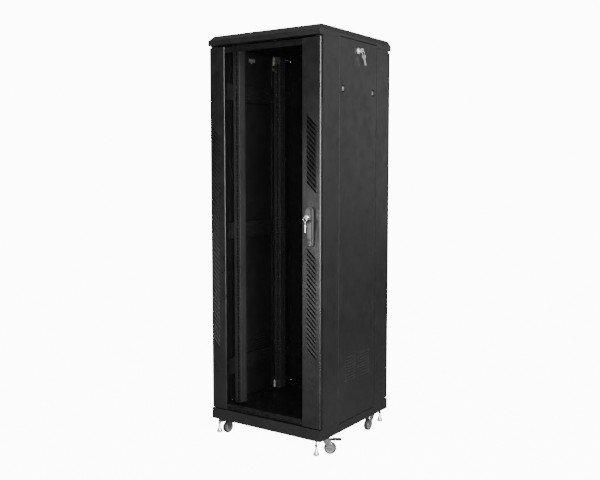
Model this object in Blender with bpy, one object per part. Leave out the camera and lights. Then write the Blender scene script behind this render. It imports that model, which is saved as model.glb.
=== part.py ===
"""Free-standing 19-inch network cabinet, 37 rack units, 600 x 600 mm.

Metres, +Z up, the front door faces -Y. Every shape is drawn in cabinet coordinates, whose
origin is on the floor under the middle of the cabinet's plan; one empty then shifts it all so
that the overall outline, keys and brake pedals included, is centred on the world's origin.
"""

import math

import bmesh
import bpy
from mathutils import Matrix, Vector

# ---- driving dimensions -------------------------------------------------------------------

CABINET_ORIGIN = Vector((-0.010, 0.010, 0.0))

HALF_WIDTH = 0.300
BACK = 0.300
BASE_FRONT = -0.296
FLOOR_CLEARANCE = 0.085
BASE_HEIGHT = 0.050
RACK_UNITS = 37
RACK_UNIT = 0.04445
UNIT_ALLOWANCE = 0.01135
ROOF_HEIGHT = 0.046
SHEET = 0.0015
FIT = 0.0003

BASE_TOP = FLOOR_CLEARANCE + BASE_HEIGHT
ROOF_BOTTOM = BASE_TOP + RACK_UNITS * RACK_UNIT + UNIT_ALLOWANCE
ROOF_TOP = ROOF_BOTTOM + ROOF_HEIGHT

PANEL_FRONT = -0.150
PANEL_BACK = 0.171
PANEL_LOW = 0.123
PANEL_HIGH = 1.802
PANEL_DEPTH = 0.014
PANEL_GAP = 0.0005

POST_FRONT = -0.277
POST_BACK = 0.283
POST_INNER = 0.262

DOOR_FRONT = -0.295
DOOR_DEPTH = 0.014
DOOR_LOW = BASE_TOP + 0.005
DOOR_HIGH = ROOF_BOTTOM - 0.009
LEFT_STRIP_EDGE = -0.213
RIGHT_STRIP_EDGE = 0.206
HINGE_X = -0.292
FRONT_HINGE_Y = -0.2875
REAR_HINGE_Y = 0.2935
REAR_DOOR_FRONT = 0.288
STOP_FRONT = 0.2835

HANDLE_X = 0.252
HANDLE_Z = 1.054
HANDLE_LOCK_Z = 1.044
HANDLE_LOW = 0.914
HANDLE_HIGH = 1.084
LEVER_TOP = 1.0305

RAIL_INNER = 0.2254
RAIL_OUTER = 0.2625
RAIL_DEPTH = 0.042
RAIL_FRONT_Y = -0.172
RAIL_REAR_Y = 0.187
RAIL_SHEET = 0.002
BRACE_LEVELS = {"low": 0.313, "middle": 0.955, "top": 1.596}
BRACE_HALF_HEIGHT = 0.0375

SIDE_LOCK_Y = 0.007
SIDE_LOCK_Z = 1.758
SIDE_CAM_REACH = 0.036
SIDE_SLOT_INNER = 0.2770
SIDE_SLOT_OUTER = 0.2842
LATCH_Z = 1.585
LATCH_YS = {"front": -0.120, "rear": 0.138}
LATCH_TRAVEL = 0.008

CASTER_X = 0.264
CASTER_FRONT_Y = -0.200
CASTER_REAR_Y = 0.204
CASTER_TRAIL = 0.022
WHEEL_RADIUS = 0.0275
PEDAL_HEIGHT = 0.0655
FOOT_HEIGHT = 0.018
FOOT_X = 0.270
FOOT_FRONT_Y = -0.2795
FOOT_REAR_Y = 0.2835

BOLT_X = 0.2590
BOLT_Y = 0.1385


# ---- materials ----------------------------------------------------------------------------

def make_material(name, colour, roughness, metallic, alpha=1.0):
    material = bpy.data.materials.new(name)
    material.use_nodes = True
    shader = material.node_tree.nodes["Principled BSDF"]
    shader.inputs["Base Color"].default_value = (*colour, 1.0)
    shader.inputs["Roughness"].default_value = roughness
    shader.inputs["Metallic"].default_value = metallic
    shader.inputs["Alpha"].default_value = alpha
    return material


def make_materials():
    return {
        "powder_black": make_material("powder_black", (0.035, 0.035, 0.037), 0.42, 0.0),
        "tinted_glass": make_material("tinted_glass", (0.03, 0.03, 0.035), 0.05, 0.0, 0.45),
        "handle_grey": make_material("handle_grey", (0.20, 0.20, 0.21), 0.35, 0.6),
        "zinc": make_material("zinc", (0.62, 0.62, 0.60), 0.32, 1.0),
        "chrome": make_material("chrome", (0.80, 0.80, 0.80), 0.12, 1.0),
        "tyre_rubber": make_material("tyre_rubber", (0.03, 0.03, 0.03), 0.7, 0.0),
        "pedal_plastic": make_material("pedal_plastic", (0.03, 0.03, 0.03), 0.5, 0.0),
        "earth_sleeve": make_material("earth_sleeve", (0.25, 0.45, 0.08), 0.5, 0.0),
    }


# ---- drawing ------------------------------------------------------------------------------

class Axis:
    """An empty that carries one moving group, standing at the group's pivot."""

    def __init__(self, name, pivot, parent=None):
        self.pivot = Vector(pivot)
        self.empty = bpy.data.objects.new(name, None)
        bpy.context.scene.collection.objects.link(self.empty)
        if parent is None:
            self.empty.location = CABINET_ORIGIN
        else:
            self.empty.parent = parent.empty
            self.empty.location = self.pivot - parent.pivot


class Shape:
    """Closed solids collected in one mesh; every body is drawn in cabinet coordinates."""

    def __init__(self):
        self.mesh = bmesh.new()

    def box(self, low, high):
        low = Vector(low)
        high = Vector(high)
        middle = (low + high) / 2
        made = bmesh.ops.create_cube(self.mesh, size=1.0)
        bmesh.ops.scale(self.mesh, vec=high - low, verts=made["verts"])
        bmesh.ops.translate(self.mesh, vec=middle, verts=made["verts"])
        return self

    def prism(self, outline, axis, start, end):
        """Extrudes a 2-D outline along an axis; its two numbers are the other axes in order."""
        return self.loft([(start, outline), (end, outline)], axis)

    def loft(self, sections, axis):
        """Joins outlines of equal length, each at its own place along the axis, into one closed body."""
        rings = []
        for place, outline in sections:
            ring = []
            for first, second in outline:
                point = {"X": (place, first, second),
                         "Y": (first, place, second),
                         "Z": (first, second, place)}[axis]
                ring.append(self.mesh.verts.new(point))
            rings.append(ring)
        faces = [self.mesh.faces.new(rings[0]), self.mesh.faces.new(rings[-1])]
        for lower, upper in zip(rings, rings[1:]):
            faces += self.bridge(lower, upper)
        bmesh.ops.recalc_face_normals(self.mesh, faces=faces)
        return self

    def bridge(self, lower, upper):
        count = len(lower)
        return [self.mesh.faces.new((lower[i], lower[(i + 1) % count],
                                     upper[(i + 1) % count], upper[i])) for i in range(count)]

    def cylinder(self, centre, radius, axis, start, end, sides=16):
        return self.prism(circle(centre, radius, sides), axis, start, end)

    def turned(self, centre, profile, axis, sides=16):
        """Stacks circles of the profile's (place, radius) pairs along an axis."""
        sections = [(place, circle(centre, radius, sides)) for place, radius in profile]
        return self.loft(sections, axis)

    def tube(self, points, radius, sides, closed):
        """Carries a circle along a path of points."""
        count = len(points)
        rings = []
        side = None
        for index, point in enumerate(points):
            before = points[index - 1] if closed or index else point
            after = points[(index + 1) % count] if closed or index < count - 1 else point
            forward = (after - before).normalized()
            if side is None:
                side = forward.orthogonal()
            side = (side - forward * side.dot(forward)).normalized()
            up = forward.cross(side)
            angles = [2 * math.pi * k / sides for k in range(sides)]
            rings.append([self.mesh.verts.new(point + (side * math.cos(a) + up * math.sin(a)) * radius)
                          for a in angles])
        faces = []
        for lower, upper in zip(rings, rings[1:]):
            faces += self.bridge(lower, upper)
        if closed:
            faces += self.bridge(rings[-1], rings[0])
        else:
            faces += [self.mesh.faces.new(rings[0]), self.mesh.faces.new(rings[-1])]
        bmesh.ops.recalc_face_normals(self.mesh, faces=faces)
        return self

    def turn(self, pivot, axis, degrees):
        """Turns all that has been drawn so far about a point."""
        rotation = Matrix.Rotation(math.radians(degrees), 4, axis)
        matrix = Matrix.Translation(Vector(pivot)) @ rotation @ Matrix.Translation(-Vector(pivot))
        bmesh.ops.transform(self.mesh, matrix=matrix, verts=self.mesh.verts)
        return self

    def place(self, name, axis, material=None):
        """Makes an object whose origin is the axis's pivot."""
        data = bpy.data.meshes.new(name)
        bmesh.ops.translate(self.mesh, vec=-axis.pivot, verts=self.mesh.verts)
        self.mesh.to_mesh(data)
        self.mesh.free()
        item = bpy.data.objects.new(name, data)
        item.parent = axis.empty
        bpy.context.scene.collection.objects.link(item)
        if material is not None:
            data.materials.append(material)
        return item


def circle(centre, radius, sides):
    return [(centre[0] + radius * math.cos(2 * math.pi * k / sides),
             centre[1] + radius * math.sin(2 * math.pi * k / sides)) for k in range(sides)]


def rectangle(half_width, front, back):
    return [(-half_width, front), (half_width, front), (half_width, back), (-half_width, back)]


def oblong(centre_x, low, high, half_width, arc_steps=6):
    """An upright slot outline with round ends."""
    points = []
    for end, start_angle in ((high - half_width, 0.0), (low + half_width, math.pi)):
        for step in range(arc_steps + 1):
            angle = start_angle + math.pi * step / arc_steps
            points.append((centre_x + half_width * math.cos(angle), end + half_width * math.sin(angle)))
    return points


def mirrored(side, first, second):
    """An interval on the right side of the cabinet, or its mirror image on the left."""
    return (first, second) if side > 0 else (-second, -first)


def combine(item, axis, steps):
    """Adds Boolean modifiers with hidden helpers; each step is (operation, shape)."""
    for number, (operation, shape) in enumerate(steps):
        helper = shape.place(f"{item.name}_helper_{number}", axis)
        helper.hide_render = True
        helper.display_type = 'WIRE'
        modifier = item.modifiers.new(f"{operation.lower()}_{number}", 'BOOLEAN')
        modifier.operation = operation
        modifier.object = helper
        modifier.solver = 'EXACT'
    return item


# ---- fixed structure ----------------------------------------------------------------------

def panel_notches(low, high):
    """The two long rebates that the side panels' edges stand in."""
    notch = Shape()
    for side in (1, -1):
        left, right = mirrored(side, HALF_WIDTH - PANEL_DEPTH, HALF_WIDTH + 0.01)
        notch.box((left, PANEL_FRONT - FIT, low), (right, PANEL_BACK + FIT, high))
    return notch


def build_base(cabinet, paint):
    inner = HALF_WIDTH - SHEET
    flange = 0.260
    front_flange = -0.255
    back_flange = 0.259
    floor_top = BASE_TOP - 0.016
    floor_bottom = floor_top - SHEET
    shell = Shape().box((-HALF_WIDTH, BASE_FRONT, FLOOR_CLEARANCE), (HALF_WIDTH, BACK, BASE_TOP))
    hollow = Shape().box((-inner, BASE_FRONT + SHEET, FLOOR_CLEARANCE - 0.01),
                         (inner, BACK - SHEET, BASE_TOP - SHEET))
    pan = Shape().box((-flange - SHEET, front_flange - SHEET, floor_bottom),
                      (flange + SHEET, back_flange + SHEET, BASE_TOP - SHEET / 2))
    recess = Shape().box((-flange, front_flange, floor_top), (flange, back_flange, BASE_TOP + 0.01))
    plates = Shape()
    caster_seats = Shape()
    foot_holes = Shape()
    for side in (1, -1):
        for caster_y, foot_y, edge in ((CASTER_FRONT_Y, FOOT_FRONT_Y, BASE_FRONT),
                                       (CASTER_REAR_Y, FOOT_REAR_Y, BACK)):
            left, right = mirrored(side, 0.205, HALF_WIDTH - SHEET / 2)
            inward = caster_y + math.copysign(0.040, -caster_y)
            outward = edge - math.copysign(SHEET / 2, edge)
            plates.box((left, min(inward, outward), FLOOR_CLEARANCE),
                       (right, max(inward, outward), FLOOR_CLEARANCE + 0.003))
            caster_seats.turned((side * CASTER_X, caster_y),
                                [(FLOOR_CLEARANCE - 0.0035, 0.019),
                                 (FLOOR_CLEARANCE + 0.001, 0.022)], "Z", 20)
            foot_holes.cylinder((side * FOOT_X, foot_y), 0.0045, "Z",
                                FLOOR_CLEARANCE - 0.01, FLOOR_CLEARANCE + 0.01, 12)
    ledges = Shape()
    for side in (1, -1):
        left, right = mirrored(side, flange + SHEET / 2, HALF_WIDTH - SHEET / 2)
        ledges.box((left, PANEL_FRONT - 0.004, PANEL_LOW - PANEL_GAP - SHEET),
                   (right, PANEL_BACK + 0.004, PANEL_LOW - PANEL_GAP))
    door_stop = Shape().box((-POST_INNER, STOP_FRONT, BASE_TOP - SHEET / 2),
                            (POST_INNER, STOP_FRONT + SHEET, BASE_TOP + 0.022))
    pin_holes = Shape()
    for hinge_y in (FRONT_HINGE_Y, REAR_HINGE_Y):
        pin_holes.cylinder((HINGE_X, hinge_y), 0.0035, "Z", BASE_TOP - 0.005, BASE_TOP + 0.005, 12)
    base = shell.place("base_frame", cabinet, paint)
    combine(base, cabinet, [
        ('DIFFERENCE', hollow), ('UNION', pan), ('DIFFERENCE', recess), ('UNION', plates),
        ('UNION', caster_seats), ('DIFFERENCE', foot_holes), ('UNION', ledges), ('UNION', door_stop),
        ('DIFFERENCE', pin_holes), ('DIFFERENCE', panel_notches(PANEL_LOW - PANEL_GAP, BASE_TOP + 0.005)),
    ])


def build_roof(cabinet, paint):
    front = -0.302
    back = 0.308
    shoulder = ROOF_BOTTOM + 0.022
    brim = rectangle(HALF_WIDTH, front, back)
    crown = rectangle(HALF_WIDTH - 0.010, front + 0.030, back - 0.012)
    shell = Shape().loft([(ROOF_BOTTOM, brim), (shoulder, brim), (ROOF_TOP, crown)], "Z")
    inner_brim = rectangle(HALF_WIDTH - SHEET, front + SHEET, back - SHEET)
    inner_crown = rectangle(HALF_WIDTH - 0.0120, front + 0.0325, back - 0.0140)
    hollow = Shape().loft([(ROOF_BOTTOM + SHEET, inner_brim), (shoulder - 0.0005, inner_brim),
                           (ROOF_TOP - SHEET, inner_crown)], "Z")
    opening = Shape().box((-0.256, -0.250, ROOF_BOTTOM - 0.01), (0.256, 0.256, ROOF_BOTTOM + 0.005))
    entry = Shape().box((-0.150, 0.100, ROOF_TOP - 0.01), (0.150, 0.190, ROOF_TOP + 0.01))
    door_stop = Shape().box((-POST_INNER, STOP_FRONT, ROOF_BOTTOM - 0.022),
                            (POST_INNER, STOP_FRONT + SHEET, ROOF_BOTTOM + SHEET / 2))
    slots = Shape()
    for side in (1, -1):
        left, right = mirrored(side, SIDE_SLOT_INNER, SIDE_SLOT_OUTER)
        slots.box((left, SIDE_LOCK_Y - SIDE_CAM_REACH, ROOF_BOTTOM - 0.01),
                  (right, SIDE_LOCK_Y + 0.012, ROOF_BOTTOM + 0.005))
    for hinge_y in (FRONT_HINGE_Y, REAR_HINGE_Y):
        slots.cylinder((HINGE_X, hinge_y), 0.0035, "Z", ROOF_BOTTOM - 0.005, ROOF_BOTTOM + 0.005, 12)
    roof = shell.place("roof", cabinet, paint)
    combine(roof, cabinet, [
        ('DIFFERENCE', hollow), ('DIFFERENCE', opening), ('DIFFERENCE', entry), ('UNION', door_stop),
        ('DIFFERENCE', slots),
        ('DIFFERENCE', panel_notches(ROOF_BOTTOM - 0.005, PANEL_HIGH + PANEL_GAP)),
    ])
    lid_top = ROOF_TOP - SHEET - FIT
    lid = Shape().box((-0.165, 0.085, lid_top - 0.0012), (0.165, 0.205, lid_top))
    lid.place("roof_entry_cover", cabinet, paint)


def post_outline(side, front):
    """A folded post: wide side face, a narrow flange behind the door and a small return."""
    face_end = PANEL_FRONT if front else PANEL_BACK
    door_end = POST_FRONT if front else POST_BACK
    into = SHEET if front else -SHEET
    points = [(HALF_WIDTH, door_end), (HALF_WIDTH, face_end), (HALF_WIDTH - PANEL_DEPTH, face_end),
              (HALF_WIDTH - PANEL_DEPTH, face_end - into), (HALF_WIDTH - SHEET, face_end - into),
              (HALF_WIDTH - SHEET, door_end + into), (POST_INNER, door_end + into),
              (POST_INNER, door_end)]
    return [(side * x, y) for x, y in points]


def build_posts(cabinet, paint):
    for side, side_name in ((1, "right"), (-1, "left")):
        for front, end_name in ((True, "front"), (False, "rear")):
            post = Shape().prism(post_outline(side, front), "Z", BASE_TOP + FIT, ROOF_BOTTOM - FIT)
            item = post.place(f"post_{end_name}_{side_name}", cabinet, paint)
            edge = PANEL_FRONT if front else PANEL_BACK
            left, right = mirrored(side, 0.2935, 0.2983)
            cuts = Shape().box((left, edge - 0.004, LATCH_Z - 0.010), (right, edge + 0.004, LATCH_Z + 0.010))
            if front and side > 0:
                cuts.box((POST_INNER - 0.005, POST_FRONT - 0.002, HANDLE_Z - 0.014),
                         (POST_INNER + 0.023, POST_FRONT + 0.004, HANDLE_Z + 0.014))
            combine(item, cabinet, [('DIFFERENCE', cuts)])


def build_braces(cabinet, paint):
    inner = RAIL_OUTER + 0.001
    outer = 0.280
    for side, side_name in ((1, "right"), (-1, "left")):
        for level_name, height in BRACE_LEVELS.items():
            low = height - BRACE_HALF_HEIGHT
            high = height + BRACE_HALF_HEIGHT
            outline = [(inner, low), (outer, low), (outer, low + SHEET), (inner + SHEET, low + SHEET),
                       (inner + SHEET, high - SHEET), (outer, high - SHEET), (outer, high), (inner, high)]
            outline = [(side * x, z) for x, z in outline]
            brace = Shape().prism(outline, "Y", POST_FRONT + SHEET + FIT, POST_BACK - SHEET - FIT)
            brace.place(f"depth_brace_{level_name}_{side_name}", cabinet, paint)


def build_rails(cabinet, paint):
    for side, side_name in ((1, "right"), (-1, "left")):
        for face, end_name, inward in ((RAIL_FRONT_Y, "front", 1), (RAIL_REAR_Y, "rear", -1)):
            outline = [(RAIL_OUTER, 0), (RAIL_INNER, 0), (RAIL_INNER, RAIL_DEPTH), (RAIL_OUTER, RAIL_DEPTH),
                       (RAIL_OUTER, RAIL_DEPTH - RAIL_SHEET),
                       (RAIL_INNER + RAIL_SHEET, RAIL_DEPTH - RAIL_SHEET),
                       (RAIL_INNER + RAIL_SHEET, RAIL_SHEET), (RAIL_OUTER, RAIL_SHEET)]
            outline = [(side * x, face + inward * y) for x, y in outline]
            rail = Shape().prism(outline, "Z", BASE_TOP + 0.0015, ROOF_BOTTOM - 0.0015)
            rail.place(f"mounting_rail_{end_name}_{side_name}", cabinet, paint)


def build_frame_bolts(cabinet, zinc):
    """Vertical studs with two nuts that hold the rear rails' feet to the base and to the roof."""
    nut = 0.0055
    stud = 0.0030
    for side, side_name in ((1, "right"), (-1, "left")):
        for end_name, start, grow in (("bottom", BASE_TOP + FIT, 1), ("top", ROOF_BOTTOM - FIT, -1)):
            steps = [(0.0, stud), (0.004, stud), (0.004, nut), (0.016, nut), (0.016, stud),
                     (0.022, stud), (0.022, nut), (0.034, nut), (0.034, stud), (0.040, stud)]
            profile = [(start + grow * (rise + 0.0001 * number), radius)
                       for number, (rise, radius) in enumerate(steps)]
            bolt = Shape().turned((side * BOLT_X, BOLT_Y), profile, "Z", 6)
            bolt.place(f"rail_bolt_{end_name}_{side_name}", cabinet, zinc)


def build_earth_lead(cabinet, sleeve):
    """A short earth lead that hangs in a bow between the roof's rim and the rear left rail."""
    start = Vector((-0.2480, 0.120, ROOF_BOTTOM - 0.0030))
    end = Vector((-0.2480, 0.1420, ROOF_BOTTOM - 0.0740))
    first = start + Vector((0.0, -0.012, -0.050))
    second = end + Vector((0.0, -0.034, 0.002))
    points = []
    steps = 18
    for number in range(steps + 1):
        t = number / steps
        points.append(start * (1 - t) ** 3 + first * 3 * t * (1 - t) ** 2
                      + second * 3 * t * t * (1 - t) + end * t ** 3)
    Shape().tube(points, 0.0020, 8, False).place("earth_lead", cabinet, sleeve)


# ---- front door ---------------------------------------------------------------------------

def pan(low, high, open_towards):
    """A folded tray without one wall: returns its outside and the hollow to take away."""
    outer = Shape().box(low, high)
    inner_low = Vector(low) + Vector((SHEET, SHEET, SHEET))
    inner_high = Vector(high) - Vector((SHEET, SHEET, SHEET))
    axis, sign = open_towards
    if sign > 0:
        inner_high[axis] += 2 * SHEET
    else:
        inner_low[axis] -= 2 * SHEET
    return outer, Shape().box(inner_low, inner_high)


def hinge_pin(name, axis, centre, inside, outside, zinc):
    """A plain pin with a collar just inside the door's edge."""
    reach = 1 if outside > inside else -1
    collar = inside - reach * 0.0033
    profile = [(inside - reach * 0.014, 0.0030), (collar - reach * 0.0001, 0.0030), (collar, 0.0050),
               (inside - reach * 0.0004, 0.0050), (inside - reach * 0.0003, 0.0030), (outside, 0.0030)]
    Shape().turned(centre, profile, "Z", 12).place(name, axis, zinc)


def build_front_door(cabinet, finishes):
    door = Axis("front_door_axis", (HINGE_X, FRONT_HINGE_Y, DOOR_LOW), cabinet)
    door_back = DOOR_FRONT + DOOR_DEPTH
    edge = HALF_WIDTH - 0.001
    left, left_hollow = pan((-edge, DOOR_FRONT, DOOR_LOW), (LEFT_STRIP_EDGE, door_back, DOOR_HIGH), (1, 1))
    right, right_hollow = pan((RIGHT_STRIP_EDGE, DOOR_FRONT, DOOR_LOW), (edge, door_back, DOOR_HIGH), (1, 1))
    rails = Shape()
    for low, high in ((DOOR_LOW, DOOR_LOW + 0.026), (DOOR_HIGH - 0.026, DOOR_HIGH)):
        rails.box((LEFT_STRIP_EDGE - SHEET / 2, DOOR_FRONT + 0.0065, low),
                  (RIGHT_STRIP_EDGE + SHEET / 2, door_back, high))
    holes = Shape().cylinder((HINGE_X, FRONT_HINGE_Y), 0.0033, "Z", DOOR_LOW - 0.01, DOOR_HIGH + 0.01, 12)
    shaft_hole = Shape().cylinder((HANDLE_X, HANDLE_Z), 0.0060, "Y", DOOR_FRONT - 0.01, DOOR_FRONT + 0.005)
    frame = left.place("front_door_frame", door, finishes["powder_black"])
    combine(frame, door, [('DIFFERENCE', left_hollow), ('UNION', right), ('DIFFERENCE', right_hollow),
                          ('UNION', rails), ('DIFFERENCE', holes), ('DIFFERENCE', shaft_hole)])
    glass = Shape().box((LEFT_STRIP_EDGE + FIT, DOOR_FRONT + 0.0015, DOOR_LOW + FIT),
                        (RIGHT_STRIP_EDGE - FIT, DOOR_FRONT + 0.0060, DOOR_HIGH - FIT))
    glass.place("front_door_glass", door, finishes["tinted_glass"])
    centre = (HINGE_X, FRONT_HINGE_Y)
    hinge_pin("front_hinge_pin_top", door, centre, DOOR_HIGH - SHEET, ROOF_BOTTOM + 0.004, finishes["zinc"])
    hinge_pin("front_hinge_pin_bottom", door, centre, DOOR_LOW + SHEET, BASE_TOP - 0.004, finishes["zinc"])
    build_handle(door, finishes)


def build_key(axis, centre, face, name, chrome):
    """A lock plug with its key: the bow stands upright in the YZ plane, in front of the face."""
    bow_centre = (face - 0.0140, centre[1])
    key = Shape().cylinder(centre, 0.0055, "Y", face - 0.0010, face + 0.0100)
    neck = Shape().box((centre[0] - 0.0010, face - 0.0120, centre[1] - 0.0030),
                       (centre[0] + 0.0010, face, centre[1] + 0.0030))
    bow = Shape().cylinder(bow_centre, 0.0095, "X", centre[0] - 0.0010, centre[0] + 0.0010, 20)
    hole = Shape().cylinder((face - 0.0185, centre[1]), 0.0030, "X",
                            centre[0] - 0.01, centre[0] + 0.01, 12)
    item = key.place(name, axis, chrome)
    return combine(item, axis, [('UNION', neck), ('UNION', bow), ('DIFFERENCE', hole)])


def ring_points(centre, radius, plane, steps=24):
    points = []
    for step in range(steps):
        angle = 2 * math.pi * step / steps
        across = radius * math.cos(angle)
        rise = radius * math.sin(angle)
        offset = (across, 0, rise) if plane == "XZ" else (0, across, rise)
        points.append(Vector(centre) + Vector(offset))
    return points


def hanging_key(top, thickness_axis):
    """A spare key below the ring: round bow with a hole near its top, blade pointing down."""
    x, y, z = top
    bow_z = z - 0.0055
    half = 0.0010
    if thickness_axis == "X":
        bow = Shape().cylinder((y, bow_z), 0.0095, "X", x - half, x + half, 20)
        blade = Shape().box((x - half, y - 0.0035, bow_z - 0.040), (x + half, y + 0.0035, bow_z - 0.004))
        hole = Shape().cylinder((y, z), 0.0030, "X", x - 0.01, x + 0.01, 12)
    else:
        bow = Shape().cylinder((x, bow_z), 0.0095, "Y", y - half, y + half, 20)
        blade = Shape().box((x - 0.0035, y - half, bow_z - 0.040), (x + 0.0035, y + half, bow_z - 0.004))
        hole = Shape().cylinder((x, z), 0.0030, "Y", y - 0.01, y + 0.01, 12)
    return bow, blade, hole


def build_handle(door, finishes):
    plate_back = DOOR_FRONT - FIT
    plate_front = plate_back - 0.0080
    lever_back = plate_front - FIT
    lever_front = lever_back - 0.0154
    plate = Shape().prism(oblong(HANDLE_X, HANDLE_LOW, HANDLE_HIGH, 0.0140), "Y", plate_front, plate_back)
    shaft_hole = Shape().cylinder((HANDLE_X, HANDLE_Z), 0.0060, "Y", plate_front - 0.01, plate_back + 0.01)
    combine(plate.place("handle_plate", door, finishes["handle_grey"]), door, [('DIFFERENCE', shaft_hole)])

    turn = Axis("handle_turn_axis", (HANDLE_X, lever_back, HANDLE_Z), door)
    half = 0.0125
    arc = [(x, z) for x, z in oblong(HANDLE_X, 0.0, HANDLE_HIGH - 0.004, half) if z > HANDLE_Z]
    head_low = LEVER_TOP + 0.001
    head_outline = arc + [(HANDLE_X - half, head_low), (HANDLE_X + half, head_low)]
    head = Shape().prism(head_outline, "Y", lever_front, lever_back)
    cam_front = POST_FRONT + SHEET + 0.0025
    shaft = Shape().cylinder((HANDLE_X, HANDLE_Z), 0.0050, "Y", lever_back - 0.002, cam_front + 0.003, 12)
    cam = Shape().box((HANDLE_X - 0.007, cam_front, HANDLE_Z - 0.007),
                      (HANDLE_X + 0.028, cam_front + 0.0035, HANDLE_Z + 0.007))
    lock_hole = Shape().cylinder((HANDLE_X, HANDLE_LOCK_Z), 0.0058, "Y",
                                 lever_front - 0.01, lever_front + 0.0105)
    combine(head.place("handle_head", turn, finishes["handle_grey"]), turn,
            [('UNION', shaft), ('UNION', cam), ('DIFFERENCE', lock_hole)])

    lift = Axis("handle_lift_axis", (HANDLE_X, lever_back, LEVER_TOP), turn)
    lever_low = HANDLE_LOW + 0.006
    side_view = [(lever_back, LEVER_TOP), (lever_back, lever_low + 0.004), (lever_back - 0.006, lever_low),
                 (lever_front + 0.003, lever_low + 0.002), (lever_front, lever_low + 0.008),
                 (lever_front, LEVER_TOP - 0.0115)]
    lever = Shape().prism(side_view, "X", HANDLE_X - half, HANDLE_X + half)
    lever.place("handle_lever", lift, finishes["handle_grey"])

    plug = Axis("front_key_axis", (HANDLE_X, lever_front, HANDLE_LOCK_Z), turn)
    build_key(plug, (HANDLE_X, HANDLE_LOCK_Z), lever_front, "front_key", finishes["chrome"])

    hole_y = lever_front - 0.0185
    swing = Axis("front_spare_axis", (HANDLE_X, hole_y, HANDLE_LOCK_Z), plug)
    radius = 0.0090
    ring_centre = (HANDLE_X, hole_y, HANDLE_LOCK_Z - radius)
    ring = Shape().tube(ring_points(ring_centre, radius, "XZ"), 0.0008, 6, True)
    ring.place("front_key_ring", swing, finishes["chrome"])
    top = (HANDLE_X, hole_y, HANDLE_LOCK_Z - 2 * radius)
    bow, blade, hole = hanging_key(top, "X")
    for shape in (bow, blade, hole):
        shape.turn(top, 'Z', 35.0)
    combine(bow.place("front_spare_key", swing, finishes["chrome"]), swing,
            [('UNION', blade), ('DIFFERENCE', hole)])


# ---- rear door ----------------------------------------------------------------------------

def build_rear_door(cabinet, finishes):
    door = Axis("rear_door_axis", (HINGE_X, REAR_HINGE_Y, DOOR_LOW), cabinet)
    edge = HALF_WIDTH - 0.001
    tray, hollow = pan((-edge, REAR_DOOR_FRONT, DOOR_LOW), (edge, BACK, DOOR_HIGH), (1, -1))
    lock_x = 0.245
    lock_z = HANDLE_Z
    holes = Shape().cylinder((HINGE_X, REAR_HINGE_Y), 0.0033, "Z", DOOR_LOW - 0.01, DOOR_HIGH + 0.01, 12)
    lock_hole = Shape().cylinder((lock_x, lock_z), 0.0095, "Y", BACK - 0.005, BACK + 0.01)
    combine(tray.place("rear_door", door, finishes["powder_black"]), door,
            [('DIFFERENCE', hollow), ('DIFFERENCE', holes), ('DIFFERENCE', lock_hole)])
    centre = (HINGE_X, REAR_HINGE_Y)
    hinge_pin("rear_hinge_pin_top", door, centre, DOOR_HIGH - SHEET, ROOF_BOTTOM + 0.004, finishes["zinc"])
    hinge_pin("rear_hinge_pin_bottom", door, centre, DOOR_LOW + SHEET, BASE_TOP - 0.004, finishes["zinc"])
    turn = Axis("rear_lock_axis", (lock_x, BACK, lock_z), door)
    barrel = Shape().cylinder((lock_x, lock_z), 0.0090, "Y", 0.2775, BACK + 0.0030)
    cam = Shape().box((lock_x - 0.007, 0.2770, lock_z - 0.032), (lock_x + 0.007, 0.2800, lock_z + 0.007))
    wing = Shape().box((lock_x - 0.0025, BACK + 0.0010, lock_z - 0.0080),
                       (lock_x + 0.0025, BACK + 0.0130, lock_z + 0.0080))
    combine(barrel.place("rear_door_lock", turn, finishes["zinc"]), turn, [('UNION', cam), ('UNION', wing)])


# ---- side panels --------------------------------------------------------------------------

def build_side_panel(cabinet, side, side_name, finishes):
    low_z = PANEL_LOW + PANEL_GAP
    high_z = PANEL_HIGH - PANEL_GAP
    front = PANEL_FRONT + PANEL_GAP
    back = PANEL_BACK - PANEL_GAP
    pivot = (side * (HALF_WIDTH - 0.001), 0.0, low_z)
    panel = Axis(f"{side_name}_panel_axis", pivot, cabinet)
    left, right = mirrored(side, HALF_WIDTH - PANEL_DEPTH + PANEL_GAP, HALF_WIDTH)
    tray, hollow = pan((left, front, low_z), (right, back, high_z), (0, -side))
    cuts = Shape().cylinder((SIDE_LOCK_Y, SIDE_LOCK_Z), 0.0095, "X",
                            *mirrored(side, HALF_WIDTH - 0.005, HALF_WIDTH + 0.005))
    for latch_y in LATCH_YS.values():
        outline = oblong(latch_y, LATCH_Z - 0.016, LATCH_Z + 0.016, 0.0095)
        cuts.prism(outline, "X", *mirrored(side, HALF_WIDTH - 0.005, HALF_WIDTH + 0.005))
    slot_low, slot_high = mirrored(side, 0.2935, 0.2983)
    for edge in (front, back):
        cuts.box((slot_low, edge - 0.004, LATCH_Z - 0.010), (slot_high, edge + 0.004, LATCH_Z + 0.010))
    item = tray.place(f"side_panel_{side_name}", panel, finishes["powder_black"])
    combine(item, panel, [('DIFFERENCE', hollow), ('DIFFERENCE', cuts)])
    for latch_name, latch_y in LATCH_YS.items():
        build_latch(panel, side, f"side_latch_{latch_name}_{side_name}", latch_y, finishes["zinc"])
    build_side_lock(panel, side, side_name, finishes)


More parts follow.
